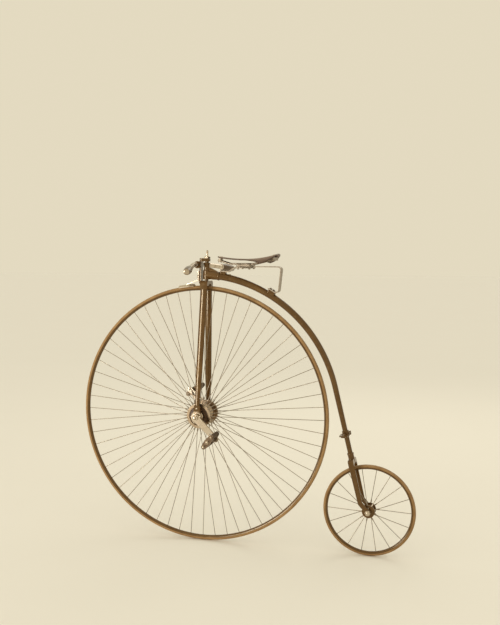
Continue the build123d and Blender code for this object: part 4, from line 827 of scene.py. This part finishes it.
leather, leather_shader, shade = new_material("saddle_leather")
pores = shade.noise(scale=520, detail=5.0)
worn = shade.noise(scale=14, detail=5.0).ramp(0.35, 0.7)
middle = 1 - across(shade).ramp(0.015, 0.075)
crease = shade.noise(scale=34, detail=5.0, stretch=(1, 0.25, 1)).ramp(0.52, 0.62)
inset = shade.add("ShaderNodeAttribute", {"attribute_name": "from_edge"}, None, 2)
burnished = 1 - inset.ramp(0.0015, 0.0130)
tooled = inset.ramp(0.0072, 0.0080) * (1 - inset.ramp(0.0088, 0.0096))
seat = (middle * 0.55).blend(worn.blend(HIDE_DARK, HIDE_WORN), HIDE_PALE)
plug(leather_shader, "Base Color", (burnished * 0.6 + tooled * 0.3).blend(seat, BURNISHED))
plug(leather_shader, "Roughness", pores * 0.2 + 0.42 - middle * 0.10 - burnished * 0.12)
relief = pores * 0.6 - crease * 0.6 - tooled * 1.4
plug(leather_shader, "Normal", shade.bump(relief, strength=0.4, distance=0.0007))

cover = bpy.data.objects.new("saddle_cover", frame["nodes"]["saddle_leather"].data.copy())
bpy.context.scene.collection.objects.link(cover)
deselect()
cover.select_set(True)
bpy.context.view_layer.objects.active = cover
bpy.ops.object.mode_set(mode="EDIT")
bpy.ops.mesh.select_all(action="SELECT")
bpy.ops.mesh.remove_doubles(threshold=MERGE_BELOW)
bpy.ops.mesh.normals_make_consistent(inside=False)
bpy.ops.object.mode_set(mode="OBJECT")
remesh = cover.modifiers.new("even", "REMESH")
remesh.mode = "VOXEL"
remesh.voxel_size = VOXEL
bpy.ops.object.modifier_apply(modifier="even")
relax = cover.modifiers.new("rounded_edge", "SMOOTH")
relax.factor = 0.5
relax.iterations = 6
bpy.ops.object.modifier_apply(modifier="rounded_edge")
cover.data.materials.clear()
cover.data.materials.append(leather)
bpy.ops.object.shade_smooth()

# On the leather's cut edge the way through to the other side is long, and elsewhere it is the thickness
cut_edge = []
for vertex in cover.data.vertices:
    found, far_side = cover.ray_cast(vertex.co - vertex.normal * PROBE_DEPTH, -vertex.normal)[:2]
    if found and (far_side - vertex.co).length > TWICE_THICKNESS:
        cut_edge.append(vertex.co)
edge_tree = KDTree(len(cut_edge))
for number, point in enumerate(cut_edge):
    edge_tree.insert(point, number)
edge_tree.balance()
from_edge = cover.data.attributes.new("from_edge", "FLOAT", "POINT")
for vertex in cover.data.vertices:
    from_edge.data[vertex.index].value = edge_tree.find(vertex.co)[2]
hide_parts("saddle_leather")
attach(cover, "backbone")


# The leather is riveted to its irons, with three rivets at the nose and five at the cantle. A plated bolt
# at the nose draws it tight.
RIVET = 20, 0.0042, [(0.0004, 0.0042), (0.0008, 0.0036), (0.0006, 0.0024), (0.0002, 0.0010)]
RIVET_SINK = 0.0003
ABOVE_SADDLE = 0.1
NOSE_BOLT_SEAT = Vector((0.1302, 0, -0.0085))
NOSE_BOLT_COLLAR = 16, 0.0029, [(0.0064, 0.0029), (0.0005, 0.0022)]
# Places of the rivets, forward and left of the rider's point
NOSE_RIVETS = [(0.1275, 0), (0.1195, 0.0125), (0.1195, -0.0125)]
CANTLE_RIVETS = [(-0.1375, 0), (-0.1365, 0.020), (-0.1365, -0.020), (-0.1335, 0.040), (-0.1335, -0.040)]

rivet_spots = []
for x, y in NOSE_RIVETS + CANTLE_RIVETS:
    at, out = cover.ray_cast(Vector((x, y, ABOVE_SADDLE)), -UP)[1:3]
    rivet_spots.append((at - out * RIVET_SINK, out))
rivets = copies(lathe(*RIVET), rivet_spots)
nose_bolt = copies(hexagon(radius=0.0052, height=0.0036, bevel=0.0005, top_radius=0.0045),
                   [(NOSE_BOLT_SEAT, FORWARD)])
nose_bolt += copies(lathe(*NOSE_BOLT_COLLAR), [(NOSE_BOLT_SEAT, FORWARD)])
finish(rivets + nose_bolt, "saddle_rivets", nickel, "backbone")
